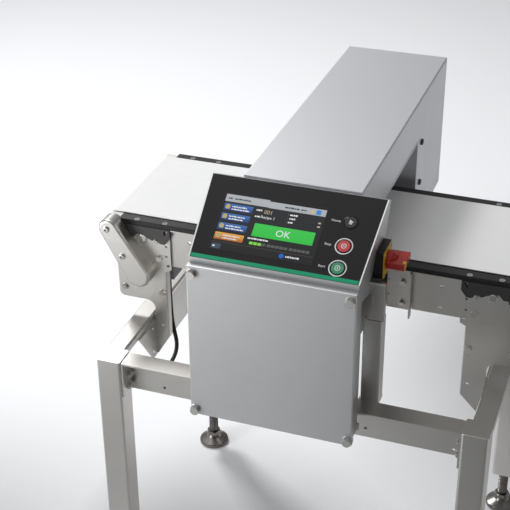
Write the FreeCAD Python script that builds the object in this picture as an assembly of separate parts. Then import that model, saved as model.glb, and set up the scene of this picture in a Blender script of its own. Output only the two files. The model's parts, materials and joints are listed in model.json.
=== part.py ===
import FreeCAD, Part
import math
import os

V = FreeCAD.Vector

# Conveyor metal detector. Millimetres, +Z up, X along the belt, Y away from the operator.
# Origin: middle of the footprint at floor level. Depths are first given from the face of the
# console cover and shifted by FRONT.

FRONT = -348.1            # y of the console cover's face
SHEET = 3.0               # plate thickness of brackets and beams
FIT = 0.05                # radial running clearance of shafts
GAP = 0.3                 # air between bodies that move apart

# ---- frame ----
LEG = 40.0                # square leg tube
LEG_R = 4.0
LEG_WALL = 2.0
LEG_LEFT = -300.7         # outer faces of the left and right legs
LEG_RIGHT = 316.0
LEG_FRONT = 40.0          # depth of the front legs' front face
LEG_REAR = 449.3
LEG_BOTTOM = 80.0
FRAME_TOP = 469.4
CAP_T = 2.0
TIE_W = 32.0              # front-to-rear channel
TIE_H = 12.4
BEAM_TOP = 468.4
BEAM_FLANGE = 33.5
BEAM_WEB = 65.0
FOOT_R = 28.0
ROD_R = 8.0

# ---- conveyor ----
BELT_MID = 318.0          # depth of the belt's centre line
BELT_W = 213.0
BELT_T = 1.25
ROLLER_R = 12.0
AXIS_X = 334.3
AXIS_Z = 627.9
RAIL_W = 18.2
RAIL_TOP = 639.6
RAIL_BOT = 631.5
RAIL_END = 320.4
PLATE_OUT = BELT_W / 2 + 16.6    # belt centre line to the side plate's outer face
RAIL_OUT = PLATE_OUT + 3.0       # belt centre line to the rail's outer face
BED_END = AXIS_X - 17.3
BED_STUDS = (175.0, 240.0)
SHAFT_R = 4.0
CHANNEL_IN = 159.2
CHANNEL_END = 254.0
CHANNEL_BOT = 561.7
JOINT_IN = 121.0
JOINT_OUT = 157.0

# ---- drive ----
COVER_TOP = (-330.3, 627.9, 17.0)
COVER_LOW = (-284.0, 550.9, 21.0)
COVER_DEPTH = 27.0
COVER_WALL = 2.0
PULLEY_ROLLER_R = 8.5
PULLEY_MOTOR_R = 12.0
TIMING_T = 1.4

# ---- detector head ----
HEAD_X = 90.3
HEAD_FRONT = 146.0
HEAD_REAR = 703.0
HEAD_BOT = 529.5
GATE_FRONT = 187.0
GATE_REAR = 495.5
GATE_BOT = 609.0
GATE_H = 87.0
ROOF = 78.2               # head above the gate
LINER_T = 3.0
GATE_TOP = GATE_BOT + GATE_H
HEAD_TOP = GATE_TOP + ROOF
HEAD_BOLT_REAR = 31.0     # head bolts behind and in front of the gate
HEAD_BOLT_FRONT = 22.0
HEAD_BOLT_LOW = 2.8       # above the gate's floor
HEAD_BOLT_HIGH = 8.4      # below the gate's roof
SEAM_IN = 2.6             # seam groove of the head's side sheets
SEAM_W = 1.2

# ---- console ----
COVER_W = 250.0
COVER_BOT = 437.2
COVER_H = 257.1
COVER_FOLD = 11.9
BOX_X = 122.0
BOX_REAR = 42.0
PANEL_TILT = math.radians(32.4)
PANEL_Y = 12.4            # depth and height of the panel's lower edge
PANEL_Z = COVER_BOT + COVER_H + 8.9
PANEL_L = 138.9
PANEL_LOW = 123.5         # half widths of the overlay
PANEL_HIGH = 131.3
PANEL_RIM = 2.0
HOUSING_REAR = 145.0
HOUSING_BOT = PANEL_Z - 30.0
LCD_W = 152.4
LCD_H = 91.4
LCD_X = -24.6
LCD_V = 64.0
BUTTON_X = 88.9
BUTTONS = {"home": (93.9, 9.0), "stop": (55.4, 9.2), "start": (20.2, 9.2)}
SWITCH_Y = 117.0
SWITCH_UP = 16.8          # switch axis above the housing's underside
SWITCH_HALF = 23.5        # half width of the switch box
SWITCH_OUT = 136.8        # outer face of the switch box
SWITCH_LOW = 22.5         # box below and above the switch axis
SWITCH_HIGH = 21.0
DIAL_R = 14.5
GRIP_OUT = 28.2           # reach of the knob beyond its plate
GRIP_D0 = 18.0            # grip in front of and behind the switch axis
GRIP_D1 = 22.0
GRIP_H = 10.5
SKIRT_LOW = 20.2          # side skirt below the housing's underside

os.makedirs("parts", exist_ok=True)


def y_of(depth):
    return FRONT + depth


def box(x0, x1, d0, d1, z0, z1):
    return Part.makeBox(x1 - x0, d1 - d0, z1 - z0, V(x0, y_of(d0), z0))


def cyl_y(r, x, z, d0, d1):
    return Part.makeCylinder(r, d1 - d0, V(x, y_of(d0), z), V(0, 1, 0))


def cyl_z(r, x, d, z0, z1):
    return Part.makeCylinder(r, z1 - z0, V(x, y_of(d), z0), V(0, 0, 1))


def cyl_x(r, x0, x1, d, z):
    return Part.makeCylinder(r, x1 - x0, V(x0, y_of(d), z), V(1, 0, 0))


def prism_xz(points, d0, d1):
    wire = Part.makePolygon([V(x, y_of(d0), z) for x, z in points] + [V(points[0][0], y_of(d0), points[0][1])])
    return Part.Face(wire).extrude(V(0, d1 - d0, 0))


def prism_yz(points, x0, x1):
    ring = points + [points[0]]
    return Part.Face(Part.makePolygon([V(x0, y_of(d), z) for d, z in ring])).extrude(V(x1 - x0, 0, 0))


def union(shapes):
    out = shapes[0]
    for s in shapes[1:]:
        out = out.fuse(s)
    return out.removeSplitter()


def group(shapes):
    return shapes[0] if len(shapes) == 1 else Part.makeCompound(shapes)


def edges_along(shape, axis, test=None):
    found = []
    for e in shape.Edges:
        if len(e.Vertexes) != 2 or e.Curve.TypeId != "Part::GeomLine":
            continue
        d = e.Vertexes[1].Point - e.Vertexes[0].Point
        if d.Length > 1e-6 and abs(d.normalize().dot(axis)) > 0.999 and (test is None or test(e)):
            found.append(e)
    return found


def mirror_x(shape):
    return shape.mirror(V(0, 0, 0), V(1, 0, 0))


def mirror_d(shape, depth=BELT_MID):
    return shape.mirror(V(0, y_of(depth), 0), V(0, 1, 0))


def hull_xz(a, b, d0, d1):
    """Solid round two circles (x, z, r) lying in the XZ plane."""
    ax, az, ar = a
    bx, bz, br = b
    ux, uz = bx - ax, bz - az
    length = math.hypot(ux, uz)
    ux, uz = ux / length, uz / length
    s = (ar - br) / length
    c = math.sqrt(1 - s * s)
    pts = []
    for side in (1, -1):
        nx, nz = s * ux - side * c * uz, s * uz + side * c * ux
        pts.append((V(ax + ar * nx, y_of(d0), az + ar * nz), V(bx + br * nx, y_of(d0), bz + br * nz)))
    far_a = V(ax - ar * ux, y_of(d0), az - ar * uz)
    far_b = V(bx + br * ux, y_of(d0), bz + br * uz)
    edges = [Part.makeLine(pts[0][0], pts[0][1]),
             Part.Arc(pts[0][1], far_b, pts[1][1]).toShape(),
             Part.makeLine(pts[1][1], pts[1][0]),
             Part.Arc(pts[1][0], far_a, pts[0][0]).toShape()]
    return Part.Face(Part.Wire(edges)).extrude(V(0, d1 - d0, 0))


def hex_prism(across, height, origin, axis):
    """Hexagon of the given width across flats standing on origin along axis."""
    r = across / math.sqrt(3)
    pts = [V(r * math.cos(math.radians(60 * i)), r * math.sin(math.radians(60 * i)), 0) for i in range(7)]
    solid = Part.Face(Part.makePolygon(pts)).extrude(V(0, 0, height))
    solid.Placement = FreeCAD.Placement(origin, FreeCAD.Rotation(V(0, 0, 1), axis))
    return solid


def hex_bolt(origin, axis, across=13.0, height=5.3, washer_r=8.0, washer_t=1.5):
    washer = Part.makeCylinder(washer_r, washer_t, origin, axis)
    head = hex_prism(across, height, origin + axis * washer_t, axis)
    cone = Part.makeCone(across * 0.78, across * 0.5, height + 0.02, origin + axis * washer_t, axis)
    return washer.fuse(head.common(cone)).removeSplitter()


def round_head(origin, axis, r, height, socket_r):
    """Button head with a hexagon socket."""
    head = Part.makeCylinder(r, height, origin, axis)
    rim = [e for e in head.Edges if (e.CenterOfMass - (origin + axis * height)).Length < 1e-3]
    head = head.makeFillet(height * 0.45, rim)
    socket = hex_prism(socket_r * 2, height, origin + axis * (height * 0.45), axis)
    return head.cut(socket)


def cord(points, r):
    """Round cord of straight runs joined by tangent arcs."""
    pts = [V(x, y_of(d), z) for x, d, z in points]
    edges = []
    start = pts[0]
    for i in range(1, len(pts) - 1):
        a, b, c = pts[i - 1], pts[i], pts[i + 1]
        u, w = (b - a), (c - b)
        short = min(u.Length, w.Length)
        u.normalize()
        w.normalize()
        turn = math.acos(max(-1.0, min(1.0, u.dot(w))))
        cut = 0.45 * short
        bend = cut / math.tan(turn / 2)
        p, q = b - u * cut, b + w * cut
        print("cord bend radius", round(bend, 1))
        inward = (w - u)
        inward.normalize()
        mid = b + inward * (math.hypot(bend, cut) - bend)
        edges += [Part.makeLine(start, p), Part.Arc(p, mid, q).toShape()]
        start = q
    edges.append(Part.makeLine(start, pts[-1]))
    wire = Part.Wire(edges)
    ring = Part.Wire([Part.makeCircle(r, pts[0], pts[1] - pts[0])])
    return wire.makePipeShell([ring], True, False)


nodes = {}


# ======================= frame =======================

def leg(x0, d0):
    outer = box(x0, x0 + LEG, d0, d0 + LEG, LEG_BOTTOM, FRAME_TOP - CAP_T)
    outer = outer.makeFillet(LEG_R, edges_along(outer, V(0, 0, 1)))
    bore = box(x0 + LEG_WALL, x0 + LEG - LEG_WALL, d0 + LEG_WALL, d0 + LEG - LEG_WALL,
               LEG_BOTTOM + 12, FRAME_TOP - CAP_T)
    bore = bore.makeFillet(LEG_R - LEG_WALL, edges_along(bore, V(0, 0, 1)))
    return outer.cut(bore).cut(cyl_z(ROD_R + FIT, x0 + LEG / 2, d0 + LEG / 2, LEG_BOTTOM - 1, LEG_BOTTOM + 13))


def leg_cap(x0, d0):
    cap = box(x0, x0 + LEG, d0, d0 + LEG, FRAME_TOP - CAP_T, FRAME_TOP)
    cap = cap.makeFillet(LEG_R, edges_along(cap, V(0, 0, 1)))
    top = [e for e in cap.Edges if abs(e.CenterOfMass.z - FRAME_TOP) < 1e-3]
    return cap.makeFillet(0.8, top)


def foot(x0, d0):
    x, d = x0 + LEG / 2, d0 + LEG / 2
    outline = [(0, 0), (FOOT_R - 1, 0), (FOOT_R, 1), (FOOT_R, 6), (FOOT_R - 1.5, 7.5), (14, 13.5),
               (11.5, 19.5), (0, 19.5)]
    ring = [V(x + r, y_of(d), z) for r, z in outline]
    pad = Part.Face(Part.makePolygon(ring + [ring[0]])).revolve(V(x, y_of(d), 0), V(0, 0, 1), 360)
    nut = hex_prism(24.0, 8.0, V(x, y_of(d), 19.5), V(0, 0, 1))
    nut = nut.common(Part.makeCone(17.5, 12.2, 8.6, V(x, y_of(d), 19.4), V(0, 0, 1)))
    rod = cyl_z(ROD_R, x, d, 19.0, LEG_BOTTOM + 60)
    return union([pad, nut, rod])


legs = {"front_left": (LEG_LEFT, LEG_FRONT), "front_right": (LEG_RIGHT - LEG, LEG_FRONT),
        "rear_left": (LEG_LEFT, LEG_REAR), "rear_right": (LEG_RIGHT - LEG, LEG_REAR)}
for where, (lx, ld) in legs.items():
    nodes["leg_" + where] = leg(lx, ld)
    nodes["foot_" + where] = foot(lx, ld)
nodes["leg_caps"] = group([leg_cap(lx, ld) for lx, ld in legs.values()])


def side_tie(x0):
    """Inverted channel from the front leg to the rear leg."""
    d0, d1 = LEG_FRONT + LEG, LEG_REAR
    outer = box(x0, x0 + TIE_W, d0, d1, BEAM_TOP - TIE_H, BEAM_TOP)
    outer = outer.makeFillet(3.5, edges_along(outer, V(0, 1, 0), lambda e: e.CenterOfMass.z > BEAM_TOP - 1))
    inner = box(x0 + 2.5, x0 + TIE_W - 2.5, d0 - 1, d1 + 1, BEAM_TOP - TIE_H - 1, BEAM_TOP - 2.5)
    return outer.cut(inner)


TIE_LEFT = LEG_LEFT - 0.3
TIE_RIGHT = LEG_RIGHT - TIE_W + 0.3
nodes["side_tie_left"] = side_tie(TIE_LEFT)
nodes["side_tie_right"] = side_tie(TIE_RIGHT)

BEAM_X0, BEAM_X1 = LEG_LEFT + LEG, LEG_RIGHT - LEG
BEAM_D0 = 42.1
BEAM_D1 = BEAM_D0 + BEAM_FLANGE
BEAM_HOLES = ((-200.7, 415.7), (127.7, 419.4), (262.1, 412.5))


def angle_beam():
    """Angle with the flange on top, pointing to the operator, and an end plate at each leg."""
    flange = box(BEAM_X0 + SHEET, BEAM_X1 - SHEET, BEAM_D0, BEAM_D1, BEAM_TOP - SHEET, BEAM_TOP)
    web = box(BEAM_X0 + SHEET, BEAM_X1 - SHEET, BEAM_D1 - SHEET, BEAM_D1, BEAM_TOP - BEAM_WEB, BEAM_TOP)
    ends = [box(x, x + SHEET, BEAM_D0 + 2, BEAM_D1, BEAM_TOP - BEAM_WEB, BEAM_TOP - 0.5)
            for x in (BEAM_X0, BEAM_X1 - SHEET)]
    beam = union([flange, web] + ends)
    for x, z in BEAM_HOLES:
        beam = beam.cut(cyl_y(2.75, x, z, BEAM_D1 - SHEET - 1, BEAM_D1 + 1))
    return beam


beam_axis = (LEG_FRONT + LEG_REAR + LEG) / 2
nodes["front_beam"] = angle_beam()
nodes["rear_beam"] = mirror_d(angle_beam(), beam_axis)
bolts = []
for z in (BEAM_TOP - 33, BEAM_TOP - 54):
    for side in (1, -1):
        x = BEAM_X0 + SHEET if side > 0 else BEAM_X1 - SHEET
        b = hex_bolt(V(x, y_of(BEAM_D1 - 13), z), V(side, 0, 0), 10.0, 4.0, 6.0, 1.2)
        bolts += [b, mirror_d(b, beam_axis)]
nodes["beam_bolts"] = group(bolts)

# ======================= stand of the head and console =======================
POST_X0, POST_X1 = 116.0, 144.4
POST_D0, POST_D1 = BEAM_D1 + 0.1, 99.8
BAR_BOT, BAR_TOP, BAR_X = 609.6, 672.0, 146.5
BAR_D1 = POST_D0 + 8.0
SHELF_T = 5.0
SHELF_X = 85.0
SHELF_REAR = 190.0
REAR_POST = 28.0


def post():
    tube = box(POST_X0, POST_X1, POST_D0, POST_D1, BEAM_TOP, BAR_BOT)
    tube = tube.makeFillet(2.5, edges_along(tube, V(0, 0, 1)))
    tube = tube.cut(box(POST_X0 + 2, POST_X1 - 2, POST_D0 + 2, POST_D1 - 2, BEAM_TOP, BAR_BOT - 2))
    seat = box(POST_X0 - 2, POST_X1, POST_D0, POST_D1, BEAM_TOP - 5, BEAM_TOP)
    down = box(POST_X0 - 2, POST_X1, POST_D0, POST_D0 + 5, BEAM_TOP - BEAM_WEB + 6, BEAM_TOP)
    return union([tube, seat, down])


nodes["front_posts"] = group([post(), mirror_x(post())])
bar = box(-BAR_X, BAR_X, POST_D0, BAR_D1, BAR_BOT, BAR_TOP)
bar = bar.makeFillet(2.0, edges_along(bar, V(1, 0, 0), lambda e: e.CenterOfMass.y < y_of(POST_D0) + 1))
bar = bar.cut(box(-BAR_X + SHEET, BAR_X - SHEET, POST_D0 + SHEET, BAR_D1 + 1, BAR_BOT + SHEET, BAR_TOP - SHEET))
nodes["cross_bar"] = bar
shelf = union([box(-SHELF_X, SHELF_X, BAR_D1, BAR_D1 + SHELF_T, HEAD_BOT - SHELF_T, BAR_TOP - 4),
               box(-SHELF_X, SHELF_X, BAR_D1, SHELF_REAR, HEAD_BOT - SHELF_T, HEAD_BOT)]
              + [prism_yz([(BAR_D1 + SHELF_T, HEAD_BOT), (HEAD_FRONT - 1, HEAD_BOT),
                           (BAR_D1 + SHELF_T, HEAD_BOT + 60)], x, x + SHELF_T)
                 for x in (-SHELF_X, -SHELF_T / 2, SHELF_X - SHELF_T)])
nodes["head_shelf"] = shelf
REAR_D0 = LEG_REAR + LEG - BEAM_D1 + LEG_FRONT + 2
REAR_BAR_H = 24.0
rear = [box(x, x + REAR_POST, REAR_D0, REAR_D0 + REAR_POST, BEAM_TOP, HEAD_BOT - REAR_BAR_H)
        for x in (-POST_X1, POST_X1 - REAR_POST)]
rear.append(box(-BAR_X, BAR_X, REAR_D0 - 2, REAR_D0 + REAR_POST + 4, HEAD_BOT - REAR_BAR_H, HEAD_BOT))
nodes["rear_stand"] = group(rear)


ARM_X = 104.0             # inner face of the arm's web
ARM_TOP, ARM_LOW = BAR_BOT + 42.4, BAR_BOT - 28.6
ARM_HOLE = (120.9, BAR_BOT + 6.1)


def console_arm():
    """Web behind the console box with a curved flange that lies on the cross bar."""
    web = box(ARM_X, ARM_X + SHEET, BOX_REAR, POST_D0, ARM_LOW, ARM_TOP)
    edge = [(ARM_TOP, 128.8), (BAR_BOT + 27.4, 129.5), (BAR_BOT + 12.4, 125.8), (BAR_BOT - 10.6, 119.9),
            (ARM_LOW, 112.7)]
    flange = prism_xz([(ARM_X, ARM_TOP)] + [(x, z) for z, x in edge] + [(ARM_X, ARM_LOW)], POST_D0 - SHEET, POST_D0)
    flange = flange.makeFillet(8.0, edges_along(flange, V(0, 1, 0), lambda e: e.CenterOfMass.x > 120
                                                and e.CenterOfMass.z < ARM_TOP - 1))
    x, z = ARM_HOLE
    return union([web, flange]).cut(cyl_y(2.2, x, z, POST_D0 - SHEET - 1, POST_D0 + 1))


nodes["console_arms"] = group([console_arm(), mirror_x(console_arm())])

# ======================= conveyor =======================
NEAR_PLATE = BELT_MID - PLATE_OUT
NEAR_RAIL = BELT_MID - RAIL_OUT
ROLLER_D0, ROLLER_D1 = BELT_MID - BELT_W / 2, BELT_MID + BELT_W / 2

loop_out = hull_xz((-AXIS_X, AXIS_Z, ROLLER_R + FIT + BELT_T), (AXIS_X, AXIS_Z, ROLLER_R + FIT + BELT_T),
                   ROLLER_D0, ROLLER_D1)
loop_in = hull_xz((-AXIS_X, AXIS_Z, ROLLER_R + FIT), (AXIS_X, AXIS_Z, ROLLER_R + FIT),
                  ROLLER_D0 - 1, ROLLER_D1 + 1)
nodes["belt"] = loop_out.cut(loop_in)


def roller(x, d0, d1):
    drum = cyl_y(ROLLER_R, x, AXIS_Z, ROLLER_D0, ROLLER_D1)
    return union([drum, cyl_y(SHAFT_R, x, AXIS_Z, d0, d1)])


SHAFT_D0 = NEAR_PLATE - 20.0
SHAFT_END = BELT_MID + PLATE_OUT - SHEET + 6
nodes["drive_roller"] = roller(-AXIS_X, SHAFT_D0, SHAFT_END)
nodes["tail_roller"] = roller(AXIS_X, 2 * BELT_MID - SHAFT_END, SHAFT_END)

bed_top = AXIS_Z + ROLLER_R + FIT - 0.25
bed = [box(-BED_END, BED_END, ROLLER_D0 + 2, ROLLER_D1 - 2, bed_top - SHEET, bed_top)]
for d in (ROLLER_D0 + 2, ROLLER_D1 - 4):
    bed.append(box(-BED_END, BED_END, d, d + 2, AXIS_Z - 8, bed_top))
CHANNEL_D0 = NEAR_PLATE + SHEET + 1.2
for x in [side * stud for side in (-1, 1) for stud in BED_STUDS]:
    for d0, d1 in ((CHANNEL_D0 + 2.5, ROLLER_D0 + 2), (ROLLER_D1 - 2, 2 * BELT_MID - CHANNEL_D0 - 2.5)):
        bed.append(cyl_y(5.0, x, AXIS_Z - 2, d0, d1))
nodes["slider_bed"] = union(bed)


def rail(d0):
    bar_ = box(-RAIL_END, RAIL_END, d0, d0 + RAIL_W, RAIL_BOT, RAIL_TOP)
    return bar_.makeChamfer(0.8, edges_along(bar_, V(1, 0, 0), lambda e: e.CenterOfMass.z > RAIL_TOP - 1))


SCREW_X = (243.6, 291.5)
SCREW_D = (NEAR_RAIL + 5.5, 2 * BELT_MID - NEAR_RAIL - 10.0)
rails = {"rail_near": rail(NEAR_RAIL), "rail_far": mirror_d(rail(NEAR_RAIL))}
screws = []
for (name, shape), d in zip(rails.items(), SCREW_D):
    for x in SCREW_X:
        for side in (-1, 1):
            seat = Part.makeCone(2.2, 4.6, 2.4, V(side * x, y_of(d), RAIL_TOP - 2.4))
            shape = shape.cut(seat)
            head = Part.makeCone(2.0, 4.4, 2.3, V(side * x, y_of(d), RAIL_TOP - 2.3))
            head = head.cut(hex_prism(2.6, 2.0, V(side * x, y_of(d), RAIL_TOP - 1.2), V(0, 0, 1)))
            screws.append(head)
    nodes[name] = shape
nodes["rail_screws"] = group(screws)

# side plate with its leg, cut out over the side tie, flange turned back along the leg
PLATE_END = 346.5         # outer end, where it narrows, and its waist
PLATE_NOSE = AXIS_Z - 21.9
PLATE_WAIST = 329.6
WAIST_Z = PLATE_NOSE - 53.0
PLATE_TOP = RAIL_BOT - 3.2
SHOULDER_X = 235.0
SHOULDER_Z = AXIS_Z - 71.9
LEG_IN = 243.4            # inner edge of the plate's leg
HIP_Z = BEAM_TOP + 24.6
KNEE_Z = BEAM_TOP - 40.4
TOE_Z = BEAM_TOP - 77.4
FLANGE_D = 13.0


def side_plate(hanger_x, holes):
    d0, d1 = NEAR_PLATE, NEAR_PLATE + SHEET
    hip_x = -PLATE_WAIST + 1.0
    body = [(-SHOULDER_X, PLATE_TOP), (-SHOULDER_X, SHOULDER_Z), (-LEG_IN, SHOULDER_Z - 4.0), (-LEG_IN, KNEE_Z),
            (hanger_x + 2.0, TOE_Z), (hanger_x, TOE_Z), (hanger_x, HIP_Z), (hip_x, HIP_Z),
            (-PLATE_WAIST, WAIST_Z), (-PLATE_END, PLATE_NOSE), (-PLATE_END, PLATE_TOP)]
    plate = prism_xz(body, d0, d1)
    rounds = ((hanger_x, HIP_Z, 15.0), (hip_x, HIP_Z, 9.0), (-PLATE_END, PLATE_TOP, 8.0),
              (-SHOULDER_X, PLATE_TOP, 2.0), (-PLATE_END, PLATE_NOSE, 9.0), (-PLATE_WAIST, WAIST_Z, 9.0))
    for x, z, r in rounds:
        plate = plate.makeFillet(r, edges_along(plate, V(0, 1, 0), lambda e: abs(e.CenterOfMass.x - x) < 0.5
                                                and abs(e.CenterOfMass.z - z) < 0.5))
    flange = box(-LEG_IN - 2.5, -LEG_IN, d0, d0 + FLANGE_D, KNEE_Z + 4.0, SHOULDER_Z - 5.0)
    plate = plate.fuse(flange).removeSplitter()
    plate = plate.makeFillet(2.2, edges_along(plate, V(0, 0, 1), lambda e: abs(e.CenterOfMass.x + LEG_IN) < 0.01
                                              and e.CenterOfMass.y < y_of(d0) + 0.1
                                              and KNEE_Z + 12 < e.CenterOfMass.z < SHOULDER_Z - 16))
    plate = plate.cut(cyl_y(SHAFT_R + 1.5, -AXIS_X, AXIS_Z, d0 - 1, d1 + 1))
    for x, z, r in holes:
        plate = plate.cut(cyl_y(r, x, z, d0 - 1, d1 + 1))
    return plate


HANG_T = 2.5
HANG_LEFT = TIE_LEFT + TIE_W + 0.1
HANG_RIGHT = TIE_RIGHT - 0.1 - HANG_T
plate_holes = [(-277.3, 601.2, 1.8), (-242.4, 598.8, 1.8), (-242.7, 580.3, 1.8), (-239.8, 563.5, 2.4),
               (-254.3, 447.4, 2.4)]
motor_hole = [(COVER_LOW[0], COVER_LOW[1], 7.0)]
leg_left = HANG_LEFT + HANG_T + 0.05
leg_right = -(HANG_RIGHT - 0.05)
nodes["side_plate_drive"] = side_plate(leg_left, plate_holes + motor_hole)
nodes["side_plate_drive_far"] = mirror_d(side_plate(leg_left, plate_holes))
nodes["side_plate_tail"] = mirror_x(side_plate(leg_right, plate_holes))
nodes["side_plate_tail_far"] = mirror_x(mirror_d(side_plate(leg_right, plate_holes)))


def hanger(x0):
    """Plate hung from a side tie that carries the two side plates."""
    low = 389.3
    pts = [(128.5, BEAM_TOP - TIE_H), (177.3, low), (420.0, low), (446.0, 425.0), (446.0, 465.7),
           (197.0, 465.7), (197.0, BEAM_TOP - TIE_H)]
    plate = prism_yz(pts, x0, x0 + HANG_T)
    for d, z in ((180.0, 446.0), (180.0, 402.0), (425.0, 446.0), (230.0, 461.0), (400.0, 461.0)):
        plate = plate.cut(cyl_x(2.6, x0 - 1, x0 + HANG_T + 1, d, z))
    return plate


nodes["hangers"] = group([hanger(HANG_LEFT), hanger(HANG_RIGHT)])


def end_block():
    """Plastic block under the rail's end, notched round the plate's fixings."""
    d1 = NEAR_PLATE - 0.05
    tab = prism_xz([(-324.0, 631.4), (-324.0, 607.0), (-318.0, 603.0), (-304.9, 603.0), (-304.9, 631.4)],
                   NEAR_PLATE - 2.4, d1)
    low = [(-305.0, 631.4), (-305.0, 609.0), (-297.0, 609.0), (-290.9, 616.5), (-282.0, 617.5), (-273.5, 613.0),
           (-265.0, 608.5), (-258.0, 609.5), (-249.5, 604.5), (-242.0, 604.5), (-233.5, 616.0), (-233.5, 631.4)]
    main = prism_xz(low, NEAR_PLATE - 4.4, d1)
    block = union([tab, main]).cut(cyl_y(5.4, -257.8, 606.0, NEAR_PLATE - 6, d1 + 1))
    block = block.cut(cyl_y(7.6, -281.4, 609.4, NEAR_PLATE - 6, d1 + 1))
    return block.cut(prism_xz([(-243.5, 629.0), (-243.5, 619.0), (-237.0, 629.0)], NEAR_PLATE - 6, d1 + 1))


def four(shape):
    return group([shape, mirror_d(shape), mirror_x(shape), mirror_x(mirror_d(shape))])


drive_clear = hull_xz((COVER_TOP[0], COVER_TOP[1], COVER_TOP[2] + GAP),
                      (COVER_LOW[0], COVER_LOW[1], COVER_LOW[2] + GAP), NEAR_PLATE - 20, NEAR_PLATE + 1)
nodes["end_blocks"] = group([end_block().cut(drive_clear), mirror_d(end_block()), mirror_x(end_block()),
                             mirror_x(mirror_d(end_block()))])

BLOCK_D0 = NEAR_PLATE + SHEET + 0.1


def bearing_block():
    block = prism_xz([(-347.0, 617.0), (-321.0, 617.0), (-321.0, 638.9), (-340.0, 638.9), (-347.0, 633.0)],
                     BLOCK_D0, ROLLER_D0 - GAP)
    block = block.makeFillet(3.0, edges_along(block, V(0, 1, 0), lambda e: e.CenterOfMass.x < -339))
    return block.cut(cyl_y(SHAFT_R + FIT, -AXIS_X, AXIS_Z, BLOCK_D0 - 1, ROLLER_D0 + 1))


nodes["bearing_blocks"] = four(bearing_block())

CHANNEL_HOLES = ((202.9, 610.7), (202.9, 573.2))


def channel():
    """Recessed side member between the joint plate and the side plate."""
    d0, d1 = CHANNEL_D0, CHANNEL_D0 + 2.5
    web = box(CHANNEL_IN, CHANNEL_END, d0, d1, CHANNEL_BOT, RAIL_BOT)
    top = box(CHANNEL_IN, 232.5, NEAR_RAIL + 0.6, d1, RAIL_BOT - 2.5, RAIL_BOT)
    low = box(CHANNEL_IN, 250.0, d0, d1 + 9.0, CHANNEL_BOT, CHANNEL_BOT + 2.5)
    part = union([web, top, low])
    for x, z in CHANNEL_HOLES:
        part = part.cut(cyl_y(3.0, x, z, d0 - 1, d1 + 1))
    return part


nodes["channels"] = four(channel())


def joint_plate():
    d0 = NEAR_PLATE
    plate = box(JOINT_IN, JOINT_OUT, d0, d0 + SHEET, 562.0, RAIL_BOT - 0.1)
    fin = box(JOINT_OUT, JOINT_OUT + 2.0, d0 - 8.0, d0 + SHEET, 551.0, RAIL_BOT - 2.6)
    part = union([plate, fin])
    for x, z in ((123.6, 611.0), (123.6, 585.0)):
        part = part.cut(cyl_y(1.3, x, z, d0 - 1, d0 + SHEET + 1))
    return part


nodes["joint_plates"] = four(joint_plate())
link = box(HEAD_X, JOINT_OUT - 1.0, NEAR_PLATE + SHEET, NEAR_PLATE + SHEET + 24.0,
           CHANNEL_BOT + 2.3, CHANNEL_BOT + 50.3)
nodes["link_blocks"] = four(link)

toward = V(0, -1, 0)
plate_bolts = []
for x, z in ((-318.5, 510.8), (-254.7, 575.7), (-251.8, 511.9)):
    plate_bolts.append(hex_bolt(V(x, y_of(NEAR_PLATE), z), toward, 8.0, 4.0, 5.6, 1.0))
plate_bolts.append(hex_bolt(V(-257.8, y_of(NEAR_PLATE), 606.0), toward, 6.0, 3.0, 4.2, 0.8))
boss = cyl_y(7.2, -281.4, 609.4, NEAR_PLATE - 4.0, NEAR_PLATE)
boss = boss.makeFillet(1.5, [e for e in boss.Edges if abs(e.CenterOfMass.y - y_of(NEAR_PLATE - 4.0)) < 1e-3])
plate_bolts.append(boss)
all_bolts = []
for b in plate_bolts:
    all_bolts += [b, mirror_d(b), mirror_x(b), mirror_x(mirror_d(b))]
nodes["plate_bolts"] = group(all_bolts)
joint_bolts = []
for z in (609.2, 572.0):
    b = hex_bolt(V(145.4, y_of(NEAR_PLATE), z), toward, 8.0, 4.0, 5.6, 1.0)
    joint_bolts += [b, mirror_d(b), mirror_x(b), mirror_x(mirror_d(b))]
nodes["joint_bolts"] = group(joint_bolts)

# ======================= drive =======================
COVER_D1 = NEAR_PLATE - 0.05
COVER_D0 = NEAR_PLATE - COVER_DEPTH


def drive_cover():
    shell = hull_xz(COVER_TOP, COVER_LOW, COVER_D0, COVER_D1)
    shell = shell.makeFillet(4.5, [e for e in shell.Edges if abs(e.BoundBox.YMax - y_of(COVER_D0)) < 1e-3
                                   and e.BoundBox.YLength < 1e-3])
    tx, tz, tr = COVER_TOP
    lx_, lz_, lr = COVER_LOW
    hollow = hull_xz((tx, tz, tr - COVER_WALL), (lx_, lz_, lr - COVER_WALL), COVER_D0 + COVER_WALL, COVER_D1 + 1)
    hollow = hollow.cut(cyl_y(4.2, -307.7, 583.5, COVER_D0, COVER_D1 + 2))
    rail_relief = box(-RAIL_END - GAP, -250, NEAR_RAIL - GAP, COVER_D1 + 1, RAIL_BOT - GAP, RAIL_TOP + GAP)
    return shell.cut(hollow).cut(rail_relief)


nodes["drive_cover"] = drive_cover()
nodes["cover_screws"] = group([round_head(V(x, y_of(COVER_D0), z), toward, 5.2, 3.2, 2.0)
                               for x, z in ((-332.8, 628.3), (-307.7, 583.5))])

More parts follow.
